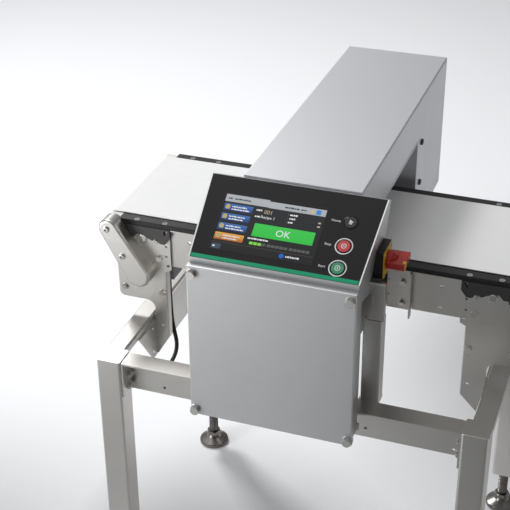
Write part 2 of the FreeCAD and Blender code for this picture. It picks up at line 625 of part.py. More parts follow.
PULLEY_D0, PULLEY_D1 = COVER_D0 + 6.0, COVER_D0 + 18.0
rp = cyl_y(PULLEY_ROLLER_R, -AXIS_X, AXIS_Z, PULLEY_D0, PULLEY_D1)
nodes["roller_pulley"] = rp.cut(cyl_y(SHAFT_R, -AXIS_X, AXIS_Z, PULLEY_D0 - 1, PULLEY_D1 + 1))
MX, MZ = COVER_LOW[0], COVER_LOW[1]
MOTOR_D0 = BLOCK_D0
motor_shaft = cyl_y(5.0, MX, MZ, PULLEY_D0 - 1.0, MOTOR_D0 + 4.0)
nodes["motor_pulley"] = union([cyl_y(PULLEY_MOTOR_R, MX, MZ, PULLEY_D0, PULLEY_D1), motor_shaft])
t_in = ((-AXIS_X, AXIS_Z, PULLEY_ROLLER_R + FIT), (MX, MZ, PULLEY_MOTOR_R + FIT))
t_out = tuple((x, z, r + TIMING_T) for x, z, r in t_in)
nodes["timing_belt"] = hull_xz(t_out[0], t_out[1], PULLEY_D0 + 1, PULLEY_D1 - 1).cut(
    hull_xz(t_in[0], t_in[1], PULLEY_D0, PULLEY_D1))

face = box(MX - 29, MX + 29, MOTOR_D0, MOTOR_D0 + 10, MZ - 29, MZ + 29)
face = face.makeFillet(6.0, edges_along(face, V(0, 1, 0)))
gear = cyl_y(28.0, MX, MZ, MOTOR_D0 + 10, MOTOR_D0 + 50)
can = cyl_y(25.0, MX, MZ, MOTOR_D0 + 50, MOTOR_D0 + 128)
terminal = box(MX + 6, MX + 40, MOTOR_D0 + 26, MOTOR_D0 + 62, MZ - 30, MZ - 8)
motor = union([face, gear, can, terminal]).cut(cyl_y(5.0 + FIT, MX, MZ, MOTOR_D0 - 1, MOTOR_D0 + 5))
nodes["gear_motor"] = motor

cable_pts = [(MX + 24, MOTOR_D0 + 44, MZ - 30), (MX + 24, MOTOR_D0 + 44, 476), (-252, 227, 436),
             (-240, 222, 388), (-259, 214, 345), (-250, 168, 352), (-238, 122, 384), (-196, 92, 394),
             (-150, 90, 396), (-108, 90, 400), (-96, 88, 440), (-96, 86, 482), (-96, 62, 495),
             (-96, BOX_REAR, 495)]
nodes["motor_cable"] = cord(cable_pts, 3.4)

# ======================= detector head =======================
head = box(-HEAD_X, HEAD_X, HEAD_FRONT, HEAD_REAR, HEAD_BOT, HEAD_TOP)
head = head.makeFillet(1.6, edges_along(head, V(0, 1, 0)))
head = head.cut(box(-HEAD_X - 1, HEAD_X + 1, GATE_FRONT - LINER_T, GATE_REAR + LINER_T,
                    GATE_BOT - LINER_T, GATE_TOP + LINER_T))
for s in (-1, 1):
    x0 = s * HEAD_X - (1.2 if s > 0 else 0.6)
    far = SEAM_IN + SEAM_W
    ring = box(x0, x0 + 1.8, HEAD_FRONT + SEAM_IN, HEAD_REAR - SEAM_IN, HEAD_BOT + SEAM_IN, HEAD_TOP - SEAM_IN)
    ring = ring.cut(box(x0 - 1, x0 + 3, HEAD_FRONT + far, HEAD_REAR - far, HEAD_BOT + far, HEAD_TOP - far))
    head = head.cut(ring)
nodes["head_housing"] = head
liner = box(-HEAD_X, HEAD_X, GATE_FRONT - LINER_T, GATE_REAR + LINER_T, GATE_BOT - LINER_T, GATE_TOP + LINER_T)
nodes["gate_liner"] = liner.cut(box(-HEAD_X - 1, HEAD_X + 1, GATE_FRONT, GATE_REAR, GATE_BOT, GATE_TOP))
head_bolts = []
for d in (GATE_REAR + HEAD_BOLT_REAR, GATE_FRONT - HEAD_BOLT_FRONT):
    for z in (GATE_TOP - HEAD_BOLT_HIGH, GATE_BOT + HEAD_BOLT_LOW):
        b = round_head(V(HEAD_X, y_of(d), z), V(1, 0, 0), 5.4, 3.6, 2.5)
        head_bolts += [b, mirror_x(b)]
nodes["head_bolts"] = group(head_bolts)

# ======================= console =======================
TOP_C = COVER_BOT + COVER_H
HALF = COVER_W / 2
cover = box(-HALF, HALF, 0, COVER_FOLD, COVER_BOT, TOP_C)
cover = cover.makeFillet(1.6, [e for e in cover.Edges if abs(e.BoundBox.YMax - y_of(0)) < 1e-3
                               and e.BoundBox.YLength < 1e-3])
cover = cover.cut(box(-HALF + 1.5, HALF - 1.5, 1.5, COVER_FOLD + 1, COVER_BOT + 1.5, TOP_C - 1.5))
COVER_BOLTS = ((-116.5, 681.6), (116.5, 681.6), (-117.5, 445.8), (119.0, 445.8))
nodes["console_cover"] = cover
nodes["console_bolts"] = group([hex_bolt(V(x, y_of(0), z), toward) for x, z in COVER_BOLTS])

front_box = COVER_FOLD + 0.1
nodes["console_box"] = box(-BOX_X, BOX_X, front_box, BOX_REAR, COVER_BOT + 1.0, HOUSING_BOT)
bracket = box(-BOX_X - 3, BOX_X + 3, BOX_REAR - 3.0, BOX_REAR, COVER_BOT + 1.0, COVER_BOT + 13)
nodes["console_box"] = union([nodes["console_box"], bracket])

U = V(0, math.cos(PANEL_TILT), math.sin(PANEL_TILT))
N = V(0, -math.sin(PANEL_TILT), math.cos(PANEL_TILT))
ORIGIN = V(0, y_of(PANEL_Y), PANEL_Z)
ridge_d = PANEL_Y + PANEL_L * math.cos(PANEL_TILT)
ridge_z = PANEL_Z + PANEL_L * math.sin(PANEL_TILT)
FLARE = (PANEL_HIGH - PANEL_LOW) / (ridge_z - PANEL_Z)


def half_at(z):
    return PANEL_LOW + PANEL_RIM + FLARE * (z - PANEL_Z)


def housing_section(s):
    profile = [(front_box, HOUSING_BOT), (front_box, PANEL_Z - 0.4), (PANEL_Y, PANEL_Z), (ridge_d, ridge_z),
               (HOUSING_REAR - 1.5, ridge_z - 6.0), (HOUSING_REAR, ridge_z - 8.5), (HOUSING_REAR, HOUSING_BOT)]
    return [V(s * half_at(z), y_of(d), z) for d, z in profile]


left_pts, right_pts = housing_section(-1), housing_section(1)
faces = [Part.Face(Part.makePolygon(left_pts + [left_pts[0]])),
         Part.Face(Part.makePolygon(right_pts + [right_pts[0]]))]
for i in range(len(left_pts)):
    j = (i + 1) % len(left_pts)
    faces.append(Part.Face(Part.makePolygon([left_pts[i], left_pts[j], right_pts[j], right_pts[i], left_pts[i]])))
housing = Part.Solid(Part.makeShell(faces))
if housing.Volume < 0:
    housing.reverse()


def on_panel(x, v, up=0.0):
    return ORIGIN + V(x, 0, 0) + U * v + N * up


def panel_prism(outline, low, high):
    pts = [on_panel(x, v, low) for x, v in outline]
    return Part.Face(Part.makePolygon(pts + [pts[0]])).extrude(N * (high - low))


def trapezoid(inset):
    return [(-PANEL_LOW + inset, inset), (PANEL_LOW - inset, inset),
            (PANEL_HIGH - inset, PANEL_L - inset), (-PANEL_HIGH + inset, PANEL_L - inset)]


def window(grow):
    w, h = LCD_W / 2 + grow, LCD_H / 2 + grow
    return [(LCD_X - w, LCD_V - h), (LCD_X + w, LCD_V - h), (LCD_X + w, LCD_V + h), (LCD_X - w, LCD_V + h)]


overlay = panel_prism(trapezoid(0.0), -2.0, 0.0)
overlay = overlay.cut(panel_prism(window(0.1), -3.0, 1.0))
housing = housing.cut(panel_prism(trapezoid(-0.1), -2.05, 3.0))
for key, (v, r) in BUTTONS.items():
    hole = Part.makeCylinder(r + GAP, 12.0, on_panel(BUTTON_X, v, -10.0), N)
    overlay = overlay.cut(hole)
    housing = housing.cut(hole)
    cap = Part.makeCylinder(r, 8.0, on_panel(BUTTON_X, v, -7.0), N)
    rim = [e for e in cap.Edges if (e.CenterOfMass - on_panel(BUTTON_X, v, 1.0)).Length < 1e-3]
    nodes["button_" + key] = cap.makeFillet(0.5, rim)
SWITCH_Z = HOUSING_BOT + SWITCH_UP
housing = housing.cut(cyl_x(10.2, BOX_X - 17, SWITCH_OUT, SWITCH_Y, SWITCH_Z))
skirts = [box(BOX_X + FIT, BOX_X + 2, front_box + 2, POST_D0 - 0.3, HOUSING_BOT - SKIRT_LOW, HOUSING_BOT + 15.0)]
slope = prism_yz([(front_box, HOUSING_BOT - SKIRT_LOW - 1), (POST_D0 - 0.3, HOUSING_BOT - SKIRT_LOW - 1),
                  (60.0, HOUSING_BOT - 15.2), (43.0, HOUSING_BOT - 11.2), (33.0, HOUSING_BOT - 9.2),
                  (front_box, HOUSING_BOT)], BOX_X - 1, BOX_X + 3)
skirt = skirts[0].cut(slope)
housing = union([housing, skirt, mirror_x(skirt)])
nodes["panel_housing"] = housing
nodes["panel_overlay"] = overlay
nodes["display"] = panel_prism(window(0.0), -2.0, -0.4)

sw_low, sw_high = SWITCH_Z - SWITCH_LOW, SWITCH_Z + SWITCH_HIGH
sw_base = prism_xz([(half_at(sw_low) + FIT, sw_low), (SWITCH_OUT, sw_low), (SWITCH_OUT, sw_high),
                    (half_at(sw_high) + FIT, sw_high)], SWITCH_Y - SWITCH_HALF, SWITCH_Y + SWITCH_HALF)
sw_base = sw_base.makeFillet(2.5, edges_along(sw_base, V(1, 0, 0)))
sw_base = union([sw_base, cyl_x(10.0, BOX_X - 16, SWITCH_OUT - 5, SWITCH_Y, SWITCH_Z)])
nodes["switch_base"] = sw_base
EDGE = 1.5                # rim of the box round the yellow plate
PLATE_X = SWITCH_OUT + 1.2
yellow = box(SWITCH_OUT, PLATE_X, SWITCH_Y - SWITCH_HALF + EDGE, SWITCH_Y + SWITCH_HALF - EDGE,
             sw_low + EDGE, sw_high - EDGE)
nodes["switch_plate"] = yellow.makeFillet(2.0, edges_along(yellow, V(1, 0, 0)))
KNOB_X0 = PLATE_X + GAP
DIAL_T, NECK_T, NECK_R = 8.0, 6.0, 9.0
dial = cyl_x(DIAL_R, KNOB_X0, KNOB_X0 + DIAL_T, SWITCH_Y, SWITCH_Z)
dial = dial.makeFillet(1.2, [e for e in dial.Edges if abs(e.CenterOfMass.x - KNOB_X0 - DIAL_T) < 1e-3])
neck = Part.makeCone(DIAL_R - 1.3, NECK_R, NECK_T, V(KNOB_X0 + DIAL_T - 0.1, y_of(SWITCH_Y), SWITCH_Z), V(1, 0, 0))
grip = box(KNOB_X0 + 2, KNOB_X0 + GRIP_OUT, SWITCH_Y - GRIP_D0, SWITCH_Y + GRIP_D1,
           SWITCH_Z - GRIP_H / 2, SWITCH_Z + GRIP_H / 2)
grip = grip.makeFillet(1.2, [e for e in grip.Edges if e.CenterOfMass.x > KNOB_X0 + 3])
nodes["switch_knob"] = union([dial, neck, grip])

for name, shape in nodes.items():
    shape.exportStep(os.path.join("parts", name + ".step"))
print(len(nodes), "nodes")
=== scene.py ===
"""Conveyor metal detector: finishes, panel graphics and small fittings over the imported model."""
import json
import logging
import math
from dataclasses import dataclass, field
from enum import Enum
from typing import Callable, Sequence

import bpy
from mathutils import Matrix, Vector


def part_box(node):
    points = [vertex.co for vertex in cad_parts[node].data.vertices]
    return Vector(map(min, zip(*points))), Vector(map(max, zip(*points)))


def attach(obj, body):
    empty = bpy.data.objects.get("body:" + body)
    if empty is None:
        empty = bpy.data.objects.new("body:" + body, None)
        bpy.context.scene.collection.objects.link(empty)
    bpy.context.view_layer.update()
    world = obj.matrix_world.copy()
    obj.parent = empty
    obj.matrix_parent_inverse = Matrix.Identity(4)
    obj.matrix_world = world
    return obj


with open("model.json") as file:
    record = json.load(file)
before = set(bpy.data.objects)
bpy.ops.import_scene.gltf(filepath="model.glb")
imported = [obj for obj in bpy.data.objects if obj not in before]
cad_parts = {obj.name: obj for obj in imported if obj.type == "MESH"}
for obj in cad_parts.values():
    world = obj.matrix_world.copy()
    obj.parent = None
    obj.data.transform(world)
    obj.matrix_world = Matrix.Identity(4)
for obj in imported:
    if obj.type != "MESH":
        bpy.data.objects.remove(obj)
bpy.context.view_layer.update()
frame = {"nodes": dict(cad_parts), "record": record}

LOG = logging.getLogger("metal_detector")
Colour = tuple[float, float, float]
UNLIT = 0.3  # share of a lit tone that its surface keeps
Test = Callable[[Vector, Vector], bool]


class Along(Enum):
    """Direction that the grinding marks of a sheet run in."""

    X = (0.03, 1.0, 1.0)
    Y = (1.0, 0.03, 1.0)
    Z = (1.0, 1.0, 0.03)
    NONE = (1.0, 1.0, 1.0)


class Glyph(Enum):
    """Sign printed on a push button."""

    HOUSE = "home"
    OCTAGON = "stop"
    CIRCLE = "start"


# ---------------------------------------------------------------- modelling bench


def tone(red: float, green: float, blue: float) -> tuple[float, float, float, float]:
    """Linear colour of a display colour.

    Args:
        red, green, blue: channels from 0 to 255.

    Returns:
        Linear red, green, blue and an alpha of 1.
    """
    def line(c: float) -> float:
        """One channel made linear."""
        c /= 255.0
        return c / 12.92 if c <= 0.04045 else ((c + 0.055) / 1.055) ** 2.4
    return (line(red), line(green), line(blue), 1.0)


def deselect() -> None:
    """Leaves edit mode and lets go of everything."""
    if bpy.context.object is not None and bpy.context.object.mode != "OBJECT":
        bpy.ops.object.mode_set(mode="OBJECT")
    for obj in list(bpy.context.selected_objects):
        obj.select_set(False)
    bpy.context.view_layer.objects.active = None


def take(obj: bpy.types.Object) -> None:
    """Selects one object alone."""
    deselect()
    obj.select_set(True)
    bpy.context.view_layer.objects.active = obj


def settle(obj: bpy.types.Object, name: str = "") -> bpy.types.Object:
    """Moves an object's place into its mesh.

    Args:
        obj: the object.
        name: new name, or nothing to keep its own.

    Returns:
        The same object at the origin.
    """
    take(obj)
    bpy.ops.object.transform_apply(location=True, rotation=True, scale=True)
    if name:
        obj.name = name
        obj.data.name = name
    return obj


def block(name: str, low: Sequence[float], high: Sequence[float]) -> bpy.types.Object:
    """Box between two corners.

    Args:
        name: name of the object.
        low, high: lowest and highest corner in metres.

    Returns:
        The box.
    """
    deselect()
    a, b = Vector(low), Vector(high)
    bpy.ops.mesh.primitive_cube_add(size=1.0, location=(a + b) / 2)
    bpy.context.object.scale = b - a
    return settle(bpy.context.object, name)


def rod(name: str, start: Sequence[float], end: Sequence[float], radius: float, sides: int = 32,
        turn: float = 0.0) -> bpy.types.Object:
    """Round or many-sided bar between two points.

    Args:
        name: name of the object.
        start, end: middle of its two ends.
        radius: radius to the corners.
        sides: number of sides.
        turn: turn about its own axis in radians.

    Returns:
        The bar.
    """
    deselect()
    a, b = Vector(start), Vector(end)
    aim = (b - a).to_track_quat("Z", "Y").to_matrix() @ Matrix.Rotation(turn, 3, "Z")
    bpy.ops.mesh.primitive_cylinder_add(vertices=sides, radius=radius, depth=(b - a).length,
                                        location=(a + b) / 2, rotation=aim.to_euler())
    return settle(bpy.context.object, name)


def hoop(name: str, centre: Sequence[float], axis: Sequence[float], radius: float, wire: float,
         flat: float = 1.0, around: int = 48) -> bpy.types.Object:
    """Ring of round or flattened wire.

    Args:
        name: name of the object.
        centre: middle of the ring.
        axis: direction that it faces.
        radius: radius of the wire's middle line.
        wire: radius of the wire.
        flat: thickness along the axis as a share of the wire's.
        around: segments round the ring.

    Returns:
        The ring.
    """
    deselect()
    turn = Vector(axis).to_track_quat("Z", "Y").to_euler()
    bpy.ops.mesh.primitive_torus_add(location=centre, rotation=turn, major_radius=radius,
                                     minor_radius=wire, major_segments=around, minor_segments=10)
    bpy.context.object.scale = (1.0, 1.0, flat)
    obj = settle(bpy.context.object, name)
    bpy.ops.object.shade_smooth()
    return obj


def pick_faces(obj: bpy.types.Object, test: Test) -> None:
    """Enters edit mode with the faces selected that pass a test.

    Args:
        obj: the object.
        test: takes a face's centre and normal.
    """
    take(obj)
    bpy.ops.object.mode_set(mode="EDIT")
    bpy.ops.mesh.select_mode(type="FACE")
    bpy.ops.mesh.select_all(action="DESELECT")
    bpy.ops.object.mode_set(mode="OBJECT")
    for face in obj.data.polygons:
        face.select = test(face.center, face.normal)
    bpy.ops.object.mode_set(mode="EDIT")


def pick_edges(obj: bpy.types.Object, test: Test) -> None:
    """Enters edit mode with the edges selected that pass a test.

    Args:
        obj: the object.
        test: takes an edge's middle and unit direction.
    """
    take(obj)
    bpy.ops.object.mode_set(mode="EDIT")
    bpy.ops.mesh.select_mode(type="EDGE")
    bpy.ops.mesh.select_all(action="DESELECT")
    bpy.ops.object.mode_set(mode="OBJECT")
    for edge in obj.data.edges:
        a, b = (obj.data.vertices[i].co for i in edge.vertices)
        edge.select = test((a + b) / 2, (b - a).normalized())
    bpy.ops.object.mode_set(mode="EDIT")


def recess(obj: bpy.types.Object, test: Test, margin: float, move: Sequence[float]) -> None:
    """Insets the faces that pass a test and pushes them in or out.

    Args:
        obj: the object.
        test: takes a face's centre and normal.
        margin: width of the rim that stays.
        move: shift of the inset faces.
    """
    pick_faces(obj, test)
    bpy.ops.mesh.inset(thickness=margin, depth=0.0)
    bpy.ops.mesh.extrude_region_move(TRANSFORM_OT_translate={"value": Vector(move)})
    deselect()


def round_edges(obj: bpy.types.Object, direction: Sequence[float], radius: float,
                steps: int = 4) -> None:
    """Rounds the edges that run in a direction.

    Args:
        obj: the object.
        direction: unit direction of the edges.
        radius: radius of the rounding.
        steps: segments of the rounding.
    """
    way = Vector(direction)
    pick_edges(obj, lambda middle, along: abs(along.dot(way)) > 0.99)
    bpy.ops.mesh.bevel(offset=radius, segments=steps, affect="EDGES")
    deselect()


def soften(obj: bpy.types.Object, width: float = 0.0003, steps: int = 2) -> bpy.types.Object:
    """Breaks the sharp edges and shades the rest smooth.

    Args:
        obj: the object.
        width: width of the broken edge.
        steps: segments of it.

    Returns:
        The same object.
    """
    take(obj)
    edge = obj.modifiers.new("edge", "BEVEL")
    edge.width, edge.segments = width, steps
    edge.limit_method, edge.angle_limit = "ANGLE", math.radians(35)
    bpy.ops.object.modifier_apply(modifier="edge")
    bpy.ops.object.shade_smooth_by_angle(angle=math.radians(40))
    return obj


def ring_plate(name: str, low: Sequence[float], high: Sequence[float], rim: float) -> bpy.types.Object:
    """Flat rectangular frame, thin along X.

    Args:
        name: name of the object.
        low, high: its outer corners.
        rim: width of the frame's bars.

    Returns:
        The frame.
    """
    obj = block(name, low, high)
    pick_faces(obj, lambda centre, normal: abs(normal.x) > 0.9)
    bpy.ops.mesh.inset(thickness=rim, depth=0.0, use_individual=True)
    bpy.ops.mesh.bridge_edge_loops()
    deselect()
    return soften(obj, 0.0002)


def copy_of(obj: bpy.types.Object, name: str, place: Matrix) -> bpy.types.Object:
    """Copy with its own mesh.

    Args:
        obj: the object.
        name: the copy's name.
        place: transform of the copy's mesh.

    Returns:
        The copy.
    """
    take(obj)
    bpy.ops.object.duplicate()
    twin = bpy.context.object
    twin.matrix_world = place
    return settle(twin, name)


def joined(name: str, parts: Sequence[bpy.types.Object]) -> bpy.types.Object:
    """Several objects made one.

    Args:
        name: name of the result.
        parts: the objects.

    Returns:
        The joined object.
    """
    deselect()
    for part in parts:
        part.select_set(True)
    bpy.context.view_layer.objects.active = parts[0]
    if len(parts) > 1:
        bpy.ops.object.join()
    return settle(bpy.context.object, name)


# ---------------------------------------------------------------- finishes


class Graph:
    """Small helper round a material's or a group's node tree."""

    def __init__(self, tree: bpy.types.NodeTree) -> None:
        """Starts from an empty tree."""
        self.tree = tree
        tree.nodes.clear()

    def add(self, kind: str, **inputs: object) -> bpy.types.Node:
        """Adds a node.

        Args:
            kind: its type.
            inputs: socket values, with _ for a space in a socket's name.

        Returns:
            The node.
        """
        node = self.tree.nodes.new(kind)
        for key, value in inputs.items():
            node.inputs[key.replace("_", " ")].default_value = value
        return node

    def link(self, out: bpy.types.NodeSocket, into: bpy.types.NodeSocket) -> None:
        """Links two sockets."""
        self.tree.links.new(out, into)

    def math(self, kind: str, a: bpy.types.NodeSocket,
             b: float | bpy.types.NodeSocket) -> bpy.types.NodeSocket:
        """Sum, product or other operation on two values.

        Args:
            kind: the operation.
            a: first value.
            b: second value, a number or a socket.

        Returns:
            The result.
        """
        node = self.tree.nodes.new("ShaderNodeMath")
        node.operation = kind
        self.link(a, node.inputs[0])
        if isinstance(b, (int, float)):
            node.inputs[1].default_value = b
        else:
            self.link(b, node.inputs[1])
        return node.outputs[0]

    def span(self, value: bpy.types.NodeSocket, low: float, high: float, start: float = 0.0,
             end: float = 1.0) -> bpy.types.NodeSocket:
        """Value mapped from start..end to low..high."""
        node = self.add("ShaderNodeMapRange")
        for i, number in ((1, start), (2, end), (3, low), (4, high)):
            node.inputs[i].default_value = number
        self.link(value, node.inputs[0])
        return node.outputs[0]

    def blend(self, mask: bpy.types.NodeSocket, a: Sequence[float],
              b: Sequence[float]) -> bpy.types.NodeSocket:
        """Colour between two, by a mask."""
        node = self.tree.nodes.new("ShaderNodeMix")
        node.data_type = "RGBA"
        node.inputs[6].default_value, node.inputs[7].default_value = tuple(a), tuple(b)
        self.link(mask, node.inputs[0])
        return node.outputs[2]


def make_group(name: str, inputs: dict[str, tuple[str, object]],
               draw: Callable[[Graph, bpy.types.Node], bpy.types.NodeSocket]) -> bpy.types.NodeTree:
    """Shader group with one value out.

    Args:
        name: name of the group.
        inputs: socket kind and default for each input's name.
        draw: adds the nodes and returns the value.

    Returns:
        The group.
    """
    tree = bpy.data.node_groups.new(name, "ShaderNodeTree")
    graph = Graph(tree)
    for key, (kind, value) in inputs.items():
        tree.interface.new_socket(key, in_out="INPUT", socket_type=kind).default_value = value
    tree.interface.new_socket("Value", in_out="OUTPUT", socket_type="NodeSocketFloat")
    source, sink = tree.nodes.new("NodeGroupInput"), tree.nodes.new("NodeGroupOutput")
    graph.link(draw(graph, source), sink.inputs[0])
    return tree


def draw_grain(graph: Graph, source: bpy.types.Node) -> bpy.types.NodeSocket:
    """Fine grinding marks, long in one direction."""
    stretch = graph.tree.nodes.new("ShaderNodeVectorMath")
    stretch.operation = "MULTIPLY"
    graph.link(source.outputs["Place"], stretch.inputs[0])
    graph.link(source.outputs["Stretch"], stretch.inputs[1])
    noise = graph.add("ShaderNodeTexNoise", Detail=3.0, Roughness=0.7)
    graph.link(stretch.outputs[0], noise.inputs["Vector"])
    graph.link(source.outputs["Density"], noise.inputs["Scale"])
    return noise.outputs["Fac"]


def draw_cloud(graph: Graph, source: bpy.types.Node) -> bpy.types.NodeSocket:
    """Soft uneven patches with a steepness."""
    noise = graph.add("ShaderNodeTexNoise", Detail=4.0, Roughness=0.55, Distortion=0.4)
    graph.link(source.outputs["Place"], noise.inputs["Vector"])
    graph.link(source.outputs["Size"], noise.inputs["Scale"])
    ramp = graph.add("ShaderNodeMapRange")
    graph.link(noise.outputs["Fac"], ramp.inputs[0])
    low = graph.math("MULTIPLY", source.outputs["Spread"], -0.5)
    high = graph.math("MULTIPLY", source.outputs["Spread"], 0.5)
    graph.link(graph.math("ADD", low, 0.5), ramp.inputs[1])
    graph.link(graph.math("ADD", high, 0.5), ramp.inputs[2])
    return ramp.outputs[0]


def draw_pebble(graph: Graph, source: bpy.types.Node) -> bpy.types.NodeSocket:
    """Moulded texture of small round bumps."""
    cells = graph.tree.nodes.new("ShaderNodeTexVoronoi")
    cells.feature = "SMOOTH_F1"
    graph.link(source.outputs["Place"], cells.inputs["Vector"])
    graph.link(source.outputs["Size"], cells.inputs["Scale"])
    return cells.outputs["Distance"]


GRAIN = make_group("grinding_marks", {"Place": ("NodeSocketVector", (0, 0, 0)),
                                      "Stretch": ("NodeSocketVector", (1, 1, 1)),
                                      "Density": ("NodeSocketFloat", 900.0)}, draw_grain)
CLOUD = make_group("soft_patches", {"Place": ("NodeSocketVector", (0, 0, 0)),
                                    "Size": ("NodeSocketFloat", 6.0),
                                    "Spread": ("NodeSocketFloat", 0.5)}, draw_cloud)
PEBBLE = make_group("moulded_pebble", {"Place": ("NodeSocketVector", (0, 0, 0)),
                                       "Size": ("NodeSocketFloat", 1200.0)}, draw_pebble)


def use_group(graph: Graph, group: bpy.types.NodeTree, place: bpy.types.NodeSocket,
              **inputs: object) -> bpy.types.NodeSocket:
    """Puts a shared group into a material.

    Args:
        graph: the material's graph.
        group: the group.
        place: coordinates that it reads.
        inputs: its other values.

    Returns:
        The group's value.
    """
    node = graph.tree.nodes.new("ShaderNodeGroup")
    node.node_tree = group
    graph.link(place, node.inputs["Place"])
    for key, value in inputs.items():
        node.inputs[key].default_value = value
    return node.outputs[0]


def start_material(name: str) -> tuple[bpy.types.Material, Graph, bpy.types.Node, bpy.types.NodeSocket]:
    """New material with its shader.

    Args:
        name: name of the material.

    Returns:
        The material, its graph, the shader and Object coordinates.
    """
    material = bpy.data.materials.new(name)
    material.use_nodes = True
    graph = Graph(material.node_tree)
    shader = graph.add("ShaderNodeBsdfPrincipled")
    out = graph.add("ShaderNodeOutputMaterial")
    graph.link(shader.outputs[0], out.inputs[0])
    return material, graph, shader, graph.add("ShaderNodeTexCoord").outputs["Object"]


def add_relief(graph: Graph, shader: bpy.types.Node, height: bpy.types.NodeSocket, depth: float,
               strength: float = 1.0) -> None:
    """Bump from a height value.

    Args:
        graph: the material's graph.
        shader: its shader.
        height: the value.
        depth: height of a full step in metres.
        strength: strength of the bump.
    """
    bump = graph.add("ShaderNodeBump", Distance=depth, Strength=strength)
    graph.link(height, bump.inputs["Height"])
    graph.link(bump.outputs[0], shader.inputs["Normal"])


@dataclass(frozen=True)
class Metal:
    """Bare metal with grinding marks and slightly uneven gloss."""

    name: str
    colour: Colour
    shade: Colour
    rough: tuple[float, float]
    along: Along = Along.NONE
    density: float = 900.0
    relief: float = 0.00002
    patch: float = 5.0
    metallic: float = 1.0

    def build(self) -> bpy.types.Material:
        """Makes the material."""
        material, graph, shader, place = start_material(self.name)
        shader.inputs["Metallic"].default_value = self.metallic
        patches = use_group(graph, CLOUD, place, Size=self.patch, Spread=0.6)
        marks = use_group(graph, GRAIN, place, Stretch=self.along.value, Density=self.density)
        colour = graph.blend(patches, tone(*self.colour), tone(*self.shade))
        graph.link(colour, shader.inputs["Base Color"])
        low, high = self.rough
        both = graph.math("ADD", graph.math("MULTIPLY", patches, 0.55),
                          graph.math("MULTIPLY", marks, 0.45))
        graph.link(graph.span(both, low, high), shader.inputs["Roughness"])
        add_relief(graph, shader, marks, self.relief)
        return material


@dataclass(frozen=True)
class Plastic:
    """Moulded plastic or rubber with a fine pebble and dulled patches."""

    name: str
    colour: Colour
    shade: Colour
    rough: tuple[float, float]
    pebble: float = 1500.0
    relief: float = 0.00004
    patch: float = 12.0
    coat: float = 0.0
    sheen_level: float = 0.4

    def build(self) -> bpy.types.Material:
        """Makes the material."""
        material, graph, shader, place = start_material(self.name)
        shader.inputs["Specular IOR Level"].default_value = self.sheen_level
        shader.inputs["Coat Weight"].default_value = self.coat
        shader.inputs["Coat Roughness"].default_value = 0.06
        patches = use_group(graph, CLOUD, place, Size=self.patch, Spread=0.7)
        bumps = use_group(graph, PEBBLE, place, Size=self.pebble)
        colour = graph.blend(patches, tone(*self.colour), tone(*self.shade))
        graph.link(colour, shader.inputs["Base Color"])
        graph.link(graph.span(patches, *self.rough), shader.inputs["Roughness"])
        add_relief(graph, shader, bumps, self.relief)
        return material


@dataclass(frozen=True)
class Ink:
    """Printed or lit colour that runs from one tone at the low edge to another at the high edge. On the
    screen ground, the screen words and the printing this ramp is painted shade; on the menu tiles it is
    their own gradient.
    """

    name: str
    low_tone: Colour
    high_tone: Colour
    low_z: float = 0.0
    high_z: float = 1.0
    glow: float = 0.0
    rough: float = 0.3

    def build(self) -> bpy.types.Material:
        """Makes the material."""
        material, graph, shader, place = start_material(self.name)
        shader.inputs["Roughness"].default_value = self.rough
        shader.inputs["Specular IOR Level"].default_value = 0.25
        shader.inputs["Emission Strength"].default_value = self.glow
        parts = graph.add("ShaderNodeSeparateXYZ")
        graph.link(place, parts.inputs[0])
        # Ramp up the slope: painted shade on the screen ground, screen words and printing; the tiles' own
        # gradient on the menu tiles.
        ramp = graph.span(parts.outputs[2], 0.0, 1.0, self.low_z, self.high_z)
        speck = use_group(graph, CLOUD, place, Size=400.0, Spread=1.0)
        mask = graph.math("ADD", ramp, graph.math("MULTIPLY", graph.math("SUBTRACT", speck, 0.5), 0.06))
        colour = graph.blend(mask, tone(*self.low_tone), tone(*self.high_tone))
        if self.glow > 0:
            graph.link(colour, shader.inputs["Emission Color"])
            low, high = (tone(*(UNLIT * c for c in end)) for end in (self.low_tone, self.high_tone))
            colour = graph.blend(mask, low, high)
        graph.link(colour, shader.inputs["Base Color"])
        return material


@dataclass(frozen=True)
class BeltCloth:
    """White coated belt with a close weave and faint running marks."""

    name: str
    colour: Colour
    shade: Colour
    thread: float = 0.0011

    def build(self) -> bpy.types.Material:
        """Makes the material."""
        material, graph, shader, place = start_material(self.name)
        patches = use_group(graph, CLOUD, place, Size=7.0, Spread=0.8)
        streaks = use_group(graph, GRAIN, place, Stretch=Along.X.value, Density=120.0)
        both = graph.math("MULTIPLY", graph.math("ADD", patches, streaks), 0.5)
        graph.link(graph.blend(both, tone(*self.colour), tone(*self.shade)), shader.inputs["Base Color"])
        graph.link(graph.span(patches, 0.42, 0.6), shader.inputs["Roughness"])
        parts = graph.add("ShaderNodeSeparateXYZ")
        graph.link(place, parts.inputs[0])
        turns = 2 * math.pi / self.thread
        warp = graph.math("SINE", graph.math("MULTIPLY", parts.outputs[0], turns), 0.0)
        weft = graph.math("SINE", graph.math("MULTIPLY", parts.outputs[1], turns), 0.0)
        add_relief(graph, shader, graph.math("MULTIPLY", warp, weft), 0.00003, 0.6)
        return material


